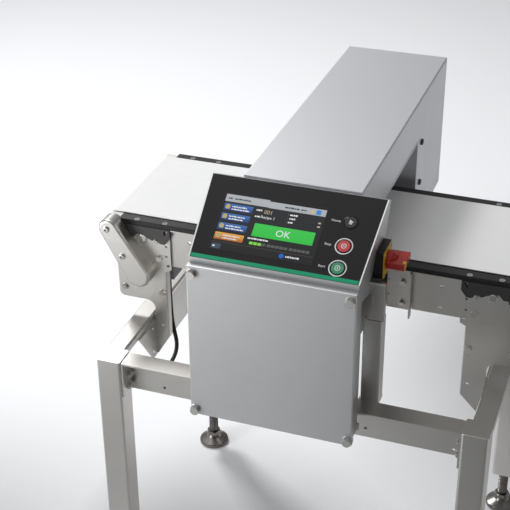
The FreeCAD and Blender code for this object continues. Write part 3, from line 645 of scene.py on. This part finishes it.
@dataclass(frozen=True)
class ShadePaintedFloor:
    """Pale seamless floor with painted shade: round patches of painted shadow and painted light falloff,
    darkest at each patch's middle.
    """

    name: str
    pale: Colour
    # Painted shade tone at the middle of each round patch.
    painted_shade_tone: Colour
    painted_shade_pools: tuple[tuple[float, float, float, float], ...]

    def build(self) -> bpy.types.Material:
        """Makes the material."""
        material, graph, shader, place = start_material(self.name)
        shader.inputs["Roughness"].default_value = 0.6
        shader.inputs["Specular IOR Level"].default_value = 0.15
        painted_shade_mask = None
        # Each round patch paints shade into the floor's colour, strongest at its middle and fading out at
        # its radius.
        for x, y, radius, depth in self.painted_shade_pools:
            reach = graph.tree.nodes.new("ShaderNodeVectorMath")
            reach.operation = "DISTANCE"
            graph.link(place, reach.inputs[0])
            reach.inputs[1].default_value = (x, y, 0.0)
            fade = graph.add("ShaderNodeMapRange")
            fade.interpolation_type = "SMOOTHERSTEP"
            for i, number in ((1, 0.0), (2, radius), (3, depth), (4, 0.0)):
                fade.inputs[i].default_value = number
            graph.link(reach.outputs["Value"], fade.inputs[0])
            painted_shade_mask = fade.outputs[0] if painted_shade_mask is None else graph.math("MAXIMUM", painted_shade_mask, fade.outputs[0])
        graph.link(graph.blend(painted_shade_mask, tone(*self.pale), tone(*self.painted_shade_tone)), shader.inputs["Base Color"])
        return material


STEEL_FINISHES = (
    Metal("frame_steel", (214, 212, 208), (196, 193, 189), (0.26, 0.42), Along.Z, 700.0),
    Metal("plate_steel", (216, 214, 210), (198, 195, 190), (0.24, 0.4), Along.X, 700.0),
    Metal("cover_steel", (208, 209, 210), (198, 199, 200), (0.34, 0.46), Along.X, 900.0, 0.000012, 3.0),
    Metal("head_steel", (222, 223, 226), (212, 213, 216), (0.4, 0.52), Along.X, 900.0, 0.00001, 3.0, 0.85),
    Metal("bolt_steel", (224, 222, 218), (190, 188, 184), (0.12, 0.3), Along.NONE, 1500.0),
    Metal("bolt_dark", (120, 116, 112), (70, 68, 66), (0.22, 0.4), Along.NONE, 1500.0),
    Metal("foot_steel", (150, 146, 142), (106, 103, 100), (0.16, 0.32), Along.NONE, 900.0),
    Metal("roller_steel", (205, 204, 202), (180, 178, 176), (0.15, 0.3), Along.Y, 900.0),
    Metal("pulley_alu", (190, 191, 193), (170, 171, 173), (0.3, 0.45), Along.Y, 900.0),
    Metal("motor_alu", (150, 151, 153), (120, 121, 123), (0.4, 0.55), Along.NONE, 600.0),
)
PLASTIC_FINISHES = (
    Plastic("rail_black", (24, 24, 25), (34, 34, 35), (0.34, 0.46)),
    Plastic("block_grey", (58, 57, 57), (76, 74, 73), (0.4, 0.6)),
    Plastic("block_white", (232, 231, 226), (214, 212, 206), (0.35, 0.55)),
    Plastic("belt_black", (24, 24, 24), (36, 35, 34), (0.55, 0.75)),
    Plastic("cable_black", (22, 22, 23), (34, 34, 35), (0.4, 0.6)),
    Plastic("liner_grey", (176, 177, 180), (160, 161, 164), (0.4, 0.55)),
    Plastic("overlay_black", (8, 6, 6), (14, 11, 11), (0.3, 0.4), 2500.0, 0.00001, 5.0, 0.0, 0.22),
    Plastic("button_black", (22, 23, 25), (32, 33, 35), (0.25, 0.4), 2500.0, 0.00002),
    Plastic("button_red", (196, 28, 26), (176, 22, 22), (0.22, 0.35), 2500.0, 0.00001, 20.0, 0.4),
    Plastic("button_green", (0, 142, 92), (0, 124, 80), (0.22, 0.35), 2500.0, 0.00001, 20.0, 0.4),
    Plastic("switch_black", (24, 23, 23), (36, 34, 34), (0.3, 0.45)),
    Plastic("switch_yellow", (236, 188, 34), (226, 176, 26), (0.3, 0.42)),
    Plastic("switch_red", (190, 40, 24), (170, 30, 18), (0.26, 0.4), 1500.0, 0.00002, 20.0, 0.2),
)


class Paintbox:
    """Every finish, made once and handed out by name."""

    def __init__(self) -> None:
        """Makes the plain finishes."""
        self.stock: dict[str, bpy.types.Material] = {}
        for finish in STEEL_FINISHES + PLASTIC_FINISHES:
            self.add(finish)
        self.add(BeltCloth("belt_white", (240, 240, 238), (224, 225, 224)))

    def add(self, finish: Metal | Plastic | Ink | BeltCloth | ShadePaintedFloor) -> None:
        """Adds a finish to the stock."""
        self.stock[finish.name] = finish.build()

    def dress(self, obj: bpy.types.Object, name: str) -> None:
        """Gives an object one finish.

        Args:
            obj: the object.
            name: name of the finish.
        """
        obj.data.materials.clear()
        obj.data.materials.append(self.stock[name])


PAINT = Paintbox()


def mount(obj: bpy.types.Object, body: str, finish: str, slot: str = "") -> bpy.types.Object:
    """Dresses a finished piece and lets it ride on a body.

    Args:
        obj: the piece.
        body: the body that carries it.
        finish: name of its finish.
        slot: the record's finish that it belongs to, or nothing for the finish's own name; not used.

    Returns:
        The piece.
    """
    PAINT.dress(obj, finish)
    slot = slot or finish
    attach(obj, body)
    LOG.info("%s rides on %s in %s, %d faces", obj.name, body, finish, len(obj.data.polygons))
    return obj


def centre_of(node: str) -> Vector:
    """Middle of a node's box."""
    low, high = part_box(node)
    return (low + high) / 2


# ---------------------------------------------------------------- studio


@dataclass
class Studio:
    """Pale floor with painted shade patches, soft lights and the camera."""

    spot: Vector = field(default_factory=lambda: Vector((0.501608, -1.791043, 1.609655)))
    azimuth: float = math.radians(20.0)
    elevation: float = math.radians(29.8)
    roll: float = math.radians(-0.5)
    lens: float = 91.03
    shift: float = 0.0039
    sensor: float = 36.0
    floor_size: float = 24.0
    floor_back: float = 3.0
    # Round patches of painted shade on the floor (x, y, radius, depth): painted shade behind the machine
    # on the right, painted light falloff at the front left and in front on the right, painted shadow under
    # the machine.
    painted_shade_pools: tuple[tuple[float, float, float, float], ...] = (
        (0.6, 0.7, 1.0, 0.8), (-0.75, -0.75, 1.2, 0.8), (0.45, -1.3, 1.5, 1.0), (-0.2, -0.25, 0.55, 0.6))
    room_dark: tuple[float, float, float, float] = (0.10, 0.093, 0.086, 1)
    room_pale: tuple[float, float, float, float] = (0.62, 0.63, 0.65, 1)

    def camera(self) -> None:
        """Adds the camera."""
        bpy.ops.object.camera_add(location=self.spot)
        camera = bpy.context.object
        camera.name = "camera"
        az, el, ro = self.azimuth, self.elevation, self.roll
        back = Vector((math.sin(az) * math.cos(el), -math.cos(az) * math.cos(el), math.sin(el)))
        right = Vector((math.cos(az), math.sin(az), 0.0))
        up = back.cross(right)
        side, top = right * math.cos(ro) + up * math.sin(ro), up * math.cos(ro) - right * math.sin(ro)
        camera.matrix_world = Matrix((side, top, back)).transposed().to_4x4()
        camera.location = self.spot
        camera.data.lens, camera.data.sensor_width = self.lens, self.sensor
        camera.data.shift_x = self.shift
        bpy.context.scene.camera = camera

    def floor(self) -> None:
        """Adds the floor, wide and level, with round patches of painted shade."""
        deselect()
        bpy.ops.mesh.primitive_plane_add(size=self.floor_size, location=(0, self.floor_back, 0))
        floor = settle(bpy.context.object, "studio_floor")
        # (88, 91, 89) is the painted shade tone at the middle of each shade patch.
        PAINT.add(ShadePaintedFloor("floor_pale_painted_shade", (250, 251, 253), (88, 91, 89), self.painted_shade_pools))
        PAINT.dress(floor, "floor_pale_painted_shade")

    def light(self, name: str, place: Sequence[float], aim: Sequence[float], size: tuple[float, float],
              power: float) -> None:
        """Adds a soft rectangular light.

        Args:
            name: name of the light.
            place: where it stands.
            aim: what it points at.
            size: width and height.
            power: watts.
        """
        bpy.ops.object.light_add(type="AREA", location=place)
        lamp = bpy.context.object
        lamp.name = name
        lamp.rotation_euler = (Vector(aim) - Vector(place)).to_track_quat("-Z", "Y").to_euler()
        lamp.data.shape, lamp.data.size, lamp.data.size_y = "RECTANGLE", size[0], size[1]
        lamp.data.energy = power

    def surroundings(self) -> None:
        """Soft room, brighter overhead and on the left than on the right."""
        world = bpy.data.worlds.new("soft_room")
        bpy.context.scene.world = world
        world.use_nodes = True
        graph = Graph(world.node_tree)
        sky = graph.add("ShaderNodeBackground", Strength=1.0)
        graph.link(sky.outputs[0], graph.add("ShaderNodeOutputWorld").inputs[0])
        parts = graph.add("ShaderNodeSeparateXYZ")
        graph.link(graph.add("ShaderNodeTexCoord").outputs["Generated"], parts.inputs[0])
        left = graph.math("MULTIPLY", graph.span(parts.outputs[0], 1.0, 0.0, -0.7, 0.5), 0.6)
        high = graph.math("MULTIPLY", graph.span(parts.outputs[2], 0.0, 1.0, 0.2, 0.9), 0.4)
        mask = graph.math("ADD", left, high)
        graph.link(graph.blend(mask, self.room_dark, self.room_pale), sky.inputs[0])

    def build(self) -> None:
        """Builds the studio."""
        self.camera()
        self.floor()
        self.surroundings()
        self.light("key_back_left", (-1.9, 1.5, 2.9), (-0.1, 0.1, 0.2), (0.7, 0.7), 66.0)
        self.light("low_left", (-1.5, -1.5, 0.55), (-0.15, -0.35, 0.5), (0.8, 0.9), 22.0)
        self.light("overhead", (-0.8, 0.2, 3.2), (-0.2, 0.4, 0.4), (2.0, 1.6), 12.0)
        bpy.context.scene.view_settings.view_transform = "Standard"


# ---------------------------------------------------------------- sub-assemblies


@dataclass
class CadDress:
    """Gives every node of the frame its finish."""

    def build(self) -> None:
        """Dresses the nodes."""
        low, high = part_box("display")
        # The screen's dark ground carries painted shade: darker at its low edge, lighter towards its top
        # edge.
        PAINT.add(Ink("display_dark", (20, 19, 24), (48, 50, 58), low.z, high.z, 0.25))
        for entry in frame["record"]["subparts"]:
            PAINT.dress(frame["nodes"][entry["node"]], entry["material_slot"])


# Screen colours (name, low tone, high tone, glow); each runs lighter up the whole screen, which is painted
# shade.
SCREEN_INKS = (
    ("lit_bar", (150, 158, 166), (206, 211, 216), 0.6),
    ("lit_dark_words", (60, 66, 74), (70, 76, 84), 0.3),
    ("lit_yellow", (226, 170, 60), (244, 196, 80), 0.8),
    ("lit_blue", (20, 92, 196), (60, 140, 226), 0.8),
    ("lit_white", (226, 232, 236), (240, 244, 246), 0.8),
    ("lit_icon", (196, 196, 150), (226, 200, 130), 0.6),
    ("lit_beige", (208, 190, 150), (222, 206, 168), 0.6),
    ("lit_brown", (104, 90, 70), (120, 104, 82), 0.4),
    ("lit_green", (24, 176, 52), (66, 206, 84), 0.9),
    ("lit_lime", (120, 206, 60), (150, 226, 80), 0.9),
    ("lit_grey", (96, 100, 98), (128, 134, 130), 0.5),
    ("lit_slate", (70, 88, 112), (100, 120, 146), 0.5),
)


@dataclass
class ControlPanel:
    """Sloping panel with its screen picture, printed words and push-button rings."""

    tilt: float = math.radians(32.4)
    half_low: float = 0.1235
    half_high: float = 0.1313
    slope: float = 0.1389
    sheet: float = 0.002
    screen_x: float = -0.0246
    screen_v: float = 0.064
    screen_w: float = 0.1524
    screen_h: float = 0.0914
    picture: float = -0.0004
    layer: float = 0.00012
    raised: float = 0.0002
    tile_low: float = 0.0822
    tile_high: float = 0.0938
    tile_step: float = 0.01595
    segments: int = 14
    segments_lit: int = 3
    segment_left: float = -0.0452
    segment_step: float = 0.00618
    segment_w: float = 0.0053
    key_ring: float = 0.0121
    home_ring: float = 0.0103
    word_x: float = 0.0607

    def __post_init__(self) -> None:
        """Finds the panel's low edge."""
        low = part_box("panel_overlay")[0]
        self.base_z = low.z + self.sheet * math.cos(self.tilt)
        self.place = Matrix.Translation((0.0, low.y, self.base_z)) @ Matrix.Rotation(self.tilt, 4, "X")

    def z_at(self, v: float) -> float:
        """Height above the floor of a point up the slope."""
        return self.base_z + v * math.sin(self.tilt)

    def lay(self, obj: bpy.types.Object) -> bpy.types.Object:
        """Turns a flat piece onto the slope."""
        obj.matrix_world = self.place
        return settle(obj)

    def show(self, obj: bpy.types.Object, finish: str) -> None:
        """Lays a flat piece on the screen and mounts it."""
        mount(self.lay(obj), "machine", finish, "display_dark")

    def print_on(self, obj: bpy.types.Object, finish: str) -> None:
        """Lays a flat piece on the overlay and mounts it."""
        mount(self.lay(obj), "machine", finish, "overlay_black")

    def tab(self, name: str, left: float, right: float, low: float, high: float, up: float,
            thick: float = 0.00012, corner: float = 0.0) -> bpy.types.Object:
        """Thin printed patch, still lying flat.

        Args:
            name: name of the patch.
            left, right: its sides, from the middle of the panel.
            low, high: its ends, up the slope.
            up: height of its underside.
            thick: thickness.
            corner: corner radius.

        Returns:
            The patch.
        """
        obj = block(name, (left, low, up), (right, high, up + thick))
        if corner > 0:
            round_edges(obj, (0, 0, 1), corner, 4)
        return obj

    def words(self, name: str, text: str, x: float, v: float, size: float, up: float,
              centred: bool = False) -> bpy.types.Object:
        """Raised lettering, still lying flat.

        Args:
            name: name of the piece.
            text: the words.
            x, v: left end or middle of the base line.
            size: size of the letters.
            up: height of their underside.
            centred: whether x is the middle.

        Returns:
            The lettering.
        """
        deselect()
        bpy.ops.object.text_add()
        obj = bpy.context.object
        obj.data.body, obj.data.size = text, size
        obj.data.extrude, obj.data.resolution_u = 0.00005, 3
        obj.data.align_x = "CENTER" if centred else "LEFT"
        bpy.ops.object.convert(target="MESH")
        obj = bpy.context.object
        obj.location = (x, v, up + 0.00005)
        return settle(obj, name)

    def smudges(self, name: str, rows: Sequence[tuple[float, float, float]], up: float,
                tall: float = 0.0022) -> bpy.types.Object:
        """Rows of short marks that stand for small writing.

        Args:
            name: name of the piece.
            rows: left end, height up the slope and width of each row.
            up: height of their underside.
            tall: height of the marks.

        Returns:
            The marks, still lying flat.
        """
        marks = []
        for x, v, width in rows:
            start, step = x, 0
            while start < x + width - 0.001:
                length = 0.0017 + 0.0009 * ((step * 7 + len(marks) * 3) % 4)
                end = min(start + length, x + width)
                marks.append(self.tab(name, start, end, v, v + tall * (0.8 + 0.1 * (step % 3)), up))
                start, step = end + 0.0008, step + 1
        return joined(name, marks)

    def stripe(self) -> None:
        """Green band along the panel's low edge."""
        obj = self.tab("green_band", -self.half_low + 0.001, self.half_low - 0.001, 0.0006, 0.0066, 0.0)
        pick_edges(obj, lambda middle, along: middle.y > 0.006 and abs(along.x) > 0.9)
        wide = 1 + (self.half_high - self.half_low) / self.slope * 0.006 / self.half_low
        bpy.ops.transform.resize(value=(wide, 1, 1), center_override=(0, 0, 0))
        deselect()
        self.print_on(obj, "print_green")

    def bezel(self) -> None:
        """Thin dark frame round the screen."""
        w, h = self.screen_w / 2, self.screen_h / 2
        obj = block("screen_bezel", (self.screen_x - w - 0.001, self.screen_v - h - 0.001, 0.0),
                    (self.screen_x + w + 0.001, self.screen_v + h + 0.001, 0.0002))
        pick_faces(obj, lambda centre, normal: abs(normal.z) > 0.9)
        bpy.ops.mesh.inset(thickness=0.0016, depth=0.0, use_individual=True)
        bpy.ops.mesh.bridge_edge_loops()
        deselect()
        self.print_on(obj, "bezel_black")

    def header(self) -> None:
        """Pale title bar with its tab."""
        up = self.picture
        left = self.screen_x - self.screen_w / 2 + 0.0006
        right = self.screen_x + self.screen_w / 2 - 0.0006
        bar = joined("screen_title_bar", [
            self.tab("bar", left, -0.034, 0.0972, 0.1092, up),
            self.tab("bar", -0.0345, right, 0.0966, 0.1072, up)])
        self.show(bar, "lit_bar")
        marks = self.smudges("screen_title_words", [(-0.096, 0.1015, 0.006), (-0.086, 0.1015, 0.024),
                                                    (-0.010, 0.1005, 0.021), (0.014, 0.1005, 0.008)],
                             up + self.layer, 0.0026)
        self.show(marks, "lit_dark_words")
        arrow = rod("screen_arrow", (0.031, 0.1012, up + self.layer),
                    (0.031, 0.1012, up + 2 * self.layer), 0.003, 3, math.radians(90))
        self.show(arrow, "lit_yellow")
        sign = self.tab("screen_corner_sign", 0.0365, 0.0435, 0.098, 0.1055, up + self.layer,
                        corner=0.0012)
        self.show(sign, "lit_blue")

    def tiles(self) -> None:
        """Four menu tiles on the left of the screen."""
        up, tiles = self.picture, []
        first = self.tab("screen_tile_1", -0.0985, -0.0552, self.tile_low, self.tile_high, up,
                         self.raised, 0.001)
        soften(first, 0.00008, 1)
        for n in range(1, 4):
            shift = Matrix.Translation((0, -self.tile_step * n, 0))
            tiles.append(copy_of(first, f"screen_tile_{n + 1}", shift))
        finishes = ("tile_blue_1", "tile_blue_2", "tile_blue_3", "tile_orange")
        for tile, finish in zip([first] + tiles, finishes):
            self.show(tile, finish)
        rows, icons = [], []
        for n in range(4):
            v = self.tile_low - self.tile_step * n
            rows += [(-0.0865, v + 0.0064, 0.022 + 0.003 * (n % 2)),
                     (-0.0865, v + 0.0022, 0.027 - 0.004 * (n % 2))]
            icons.append(self.tab("icon", -0.0962, -0.0895, v + 0.0028, v + 0.0090, up + self.raised,
                                  corner=0.0012))
            icons.append(self.tab("icon", -0.0945, -0.0912, v + 0.0045, v + 0.0104, up + self.raised,
                                  corner=0.0008))
        self.show(self.smudges("screen_tile_words", rows, up + self.raised), "lit_white")
        self.show(joined("screen_tile_icons", icons), "lit_icon")

    def readouts(self) -> None:
        """Digits, small writing and lines in the middle of the screen."""
        up = self.picture
        digits = self.words("screen_count", "001", -0.038, 0.0862, 0.0088, up)
        self.show(digits, "lit_beige")
        rows = [(-0.050, 0.0895, 0.0098), (-0.0495, 0.0790, 0.0075), (0.0004, 0.0895, 0.0112),
                (0.0010, 0.0835, 0.0092), (0.0005, 0.0775, 0.0068), (-0.0495, 0.0428, 0.031)]
        self.show(self.smudges("screen_small_words", rows, up, 0.0026), "lit_white")
        self.show(self.words("screen_mode_words", "Recipe 1", -0.041, 0.0785, 0.0062, up), "lit_white")
        lines = [self.tab("line", -0.0022, -0.0018, 0.0745, 0.0945, up),
                 self.tab("line", -0.1005, 0.0502, 0.0302, 0.0308, up)]
        self.show(joined("screen_lines", lines), "lit_brown")
        marks = [self.tab("mark", 0.0435, 0.0475, 0.0838, 0.0862, up, corner=0.0006),
                 self.tab("mark", 0.0435, 0.0475, 0.0778, 0.0802, up, corner=0.0006)]
        self.show(joined("screen_side_marks", marks), "lit_beige")

    def banner(self) -> None:
        """Green field with its word."""
        area = self.tab("screen_green_field", -0.0457, 0.0443, 0.0481, 0.0692, self.picture,
                        self.raised, 0.0008)
        soften(area, 0.00006, 1)
        self.show(area, "lit_green")
        word = self.words("screen_ok", "OK", -0.001, 0.0533, 0.0150, self.picture + self.raised, True)
        self.show(word, "lit_white")

    def meter(self) -> None:
        """Level meter of small segments, and the foot tabs."""
        up, lit, dull = self.picture, [], []
        for n in range(self.segments):
            gap = 0.0016 * ((n > 3) + (n > 8))
            x = self.segment_left + n * self.segment_step + gap
            into = lit if n < self.segments_lit else dull
            into.append(self.tab("segment", x, x + self.segment_w, 0.0346, 0.0388, up, corner=0.0004))
        self.show(joined("screen_level_lit", lit), "lit_lime")
        self.show(joined("screen_level_dull", dull), "lit_grey")
        foot = [self.tab("foot", -0.0985, -0.0845, 0.0195, 0.0275, up, corner=0.001)]
        self.show(joined("screen_foot_tab", foot), "lit_slate")
        dot = rod("screen_foot_dot", (0.006, 0.0245, up), (0.006, 0.0245, up + self.layer), 0.0036, 24)
        self.show(dot, "lit_blue")
        rows = [(0.012, 0.0232, 0.02), (-0.0965, 0.0222, 0.004)]
        self.show(self.smudges("screen_foot_words", rows, up + self.layer, 0.0028), "lit_white")

    def glyph(self, sign: Glyph) -> bpy.types.Object:
        """Printed sign of a push button, flat round its own middle.

        Args:
            sign: which sign.

        Returns:
            The sign, still lying flat.
        """
        name = f"{sign.value}_sign"
        if sign is Glyph.HOUSE:
            walls = block(name, (-0.0023, -0.0032, 0), (0.0023, 0.0004, 0.00015))
            recess(walls, lambda centre, normal: normal.y < -0.9, 0.0002, (0, 0.0002, 0))
            roof = rod("roof", (0, 0.0005, 0), (0, 0.0005, 0.00015), 0.0040, 3, math.radians(90))
            return joined(name, [walls, roof])
        ring = hoop(name, (0, 0, 0), (0, 0, 1), 0.0036, 0.0005, 0.3, 8 if sign is Glyph.OCTAGON else 40)
        if sign is Glyph.OCTAGON:
            return joined(name, [ring, self.tab("bar", -0.002, 0.002, -0.0006, 0.0006, 0.0)])
        return joined(name, [ring, self.tab("bar", -0.0006, 0.0006, -0.002, 0.002, 0.0)])

    def buttons(self) -> None:
        """Rings, signs and printed words of the three push buttons."""
        up = self.place.to_3x3() @ Vector((0, 0, 1))
        for sign in Glyph:
            node = "button_" + sign.value
            body = sign.value + "_key"
            middle = self.place.inverted() @ (centre_of(node) + up * 0.003)
            mark = self.glyph(sign)
            mark.location = (middle.x, middle.y, 0.00102)
            mount(self.lay(settle(mark)), body, "print_white", node)
            radius = self.key_ring if sign is not Glyph.HOUSE else self.home_ring
            ring = hoop(f"{sign.value}_ring", (middle.x, middle.y, 0.0), (0, 0, 1), radius, 0.0009, 0.5)
            finish = "print_white" if sign is not Glyph.HOUSE else "bezel_black"
            self.print_on(ring, finish)
            word = self.words(f"{sign.value}_word", sign.value.capitalize(), self.word_x,
                              middle.y - 0.002, 0.0054, 0.0)
            self.print_on(word, "print_white")

    def inks(self) -> None:
        """Makes the panel's printing and screen colours."""
        z = self.z_at
        # The printing runs a little lighter towards the panel's top: painted shade.
        PAINT.add(Ink("print_green", (0, 150, 106), (0, 158, 112), z(0), z(0.007), 0.0, 0.35))
        PAINT.add(Ink("print_white", (226, 228, 228), (232, 233, 233), z(0), z(0.14), 0.0, 0.4))
        PAINT.add(Ink("bezel_black", (9, 9, 10), (14, 14, 15), z(0), z(0.14), 0.0, 0.25))
        for n in range(3):
            drop = self.tile_step * n
            PAINT.add(Ink(f"tile_blue_{n + 1}", (16, 46, 110), (64, 118, 190), z(self.tile_low - drop),
                          z(self.tile_high - drop), 0.75))
        PAINT.add(Ink("tile_orange", (176, 92, 20), (246, 176, 70), z(0.0344), z(0.0460), 0.8))
        # Screen colours run lighter up the screen: painted shade.
        for name, low, high, glow in SCREEN_INKS:
            PAINT.add(Ink(name, low, high, z(0.018), z(0.11), glow))

    def build(self) -> None:
        """Builds the panel's picture and printing."""
        self.inks()
        self.stripe()
        self.bezel()
        self.header()
        self.tiles()
        self.readouts()
        self.banner()
        self.meter()
        self.buttons()


@dataclass
class MainSwitch:
    """Pointer insert of the red knob and the screws of the yellow plate."""

    insert: float = 0.004
    reach: float = 0.0125
    width: float = 0.0072
    screw: float = 0.0016
    screw_in: float = 0.0045

    def build(self) -> None:
        """Builds the switch's small pieces."""
        low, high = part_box("switch_knob")
        middle = (low + high) / 2
        tip = rod("knob_pointer", (high.x - self.insert, middle.y - self.reach, middle.z),
                  (high.x + 0.0004, middle.y - self.reach, middle.z), self.width, 6)
        pick_faces(tip, lambda centre, normal: normal.x > 0.9)
        bpy.ops.mesh.inset(thickness=0.0012, depth=0.0003)
        deselect()
        mount(soften(tip, 0.0005, 3), "main_switch", "switch_yellow")
        low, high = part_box("switch_plate")
        parts = []
        for y in (low.y + self.screw_in, high.y - self.screw_in):
            for z in (low.z + self.screw_in, high.z - self.screw_in):
                head = rod("screw", (high.x - 0.0004, y, z), (high.x + 0.0009, y, z), self.screw, 20)
                recess(head, lambda centre, normal: normal.x > 0.9, 0.0006, (-0.0004, 0, 0))
                parts.append(head)
        mount(soften(joined("switch_screws", parts), 0.0001), "machine", "bolt_steel")


@dataclass
class HeadTrim:
    """Bright rims round the two ends of the gate."""

    rim: float = 0.0028
    stand: float = 0.0006
    lap: float = 0.0014

    def build(self) -> None:
        """Builds one rim at each side."""
        low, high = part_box("gate_liner")
        for side, name in ((1, "gate_rim_right"), (-1, "gate_rim_left")):
            x = high.x if side > 0 else low.x
            a, b = sorted((x - side * 0.0002, x + side * self.stand))
            rim = ring_plate(name, (a, low.y - self.lap, low.z - self.lap),
                             (b, high.y + self.lap, high.z + self.lap), self.rim)
            mount(rim, "machine", "head_steel")


@dataclass
class FootThreads:
    """Rolled thread on the rod of each levelling foot."""

    pitch: float = 0.002
    ridge: float = 0.0007
    from_z: float = 0.0285
    to_z: float = 0.0785
    rod_radius: float = 0.008
    names: tuple[str, ...] = ("foot_front_left", "foot_front_right", "foot_rear_left", "foot_rear_right")

    def build(self) -> None:
        """Winds one thread and copies it to the four feet."""
        deselect()
        bpy.ops.mesh.primitive_circle_add(vertices=3, radius=self.ridge, fill_type="NOTHING",
                                          location=(self.rod_radius, 0, self.from_z),
                                          rotation=(math.pi / 2, math.pi / 2, 0))
        thread = settle(bpy.context.object, "foot_thread")
        turns = int((self.to_z - self.from_z) / self.pitch)
        screw = thread.modifiers.new("wind", "SCREW")
        screw.axis, screw.angle = "Z", 2 * math.pi
        screw.screw_offset, screw.iterations = self.pitch, turns
        screw.steps = screw.render_steps = 24
        screw.use_smooth_shade = False
        bpy.ops.object.modifier_apply(modifier="wind")
        pick_faces(thread, lambda centre, normal: True)
        bpy.ops.mesh.normals_make_consistent(inside=False)
        deselect()
        for name in self.names:
            middle = centre_of(name)
            twin = copy_of(thread, name + "_thread", Matrix.Translation((middle.x, middle.y, 0)))
            mount(twin, name, "foot_steel")
        bpy.data.objects.remove(thread)


def main() -> None:
    """Builds the studio and each sub-assembly in order."""
    logging.basicConfig(level=logging.INFO, format="%(name)s: %(message)s")
    for assembly in (Studio(), CadDress(), ControlPanel(), MainSwitch(), HeadTrim(), FootThreads()):
        assembly.build()
        LOG.info("%s is built", type(assembly).__name__)
    deselect()
    bpy.context.view_layer.update()


if __name__ == "__main__":
    main()
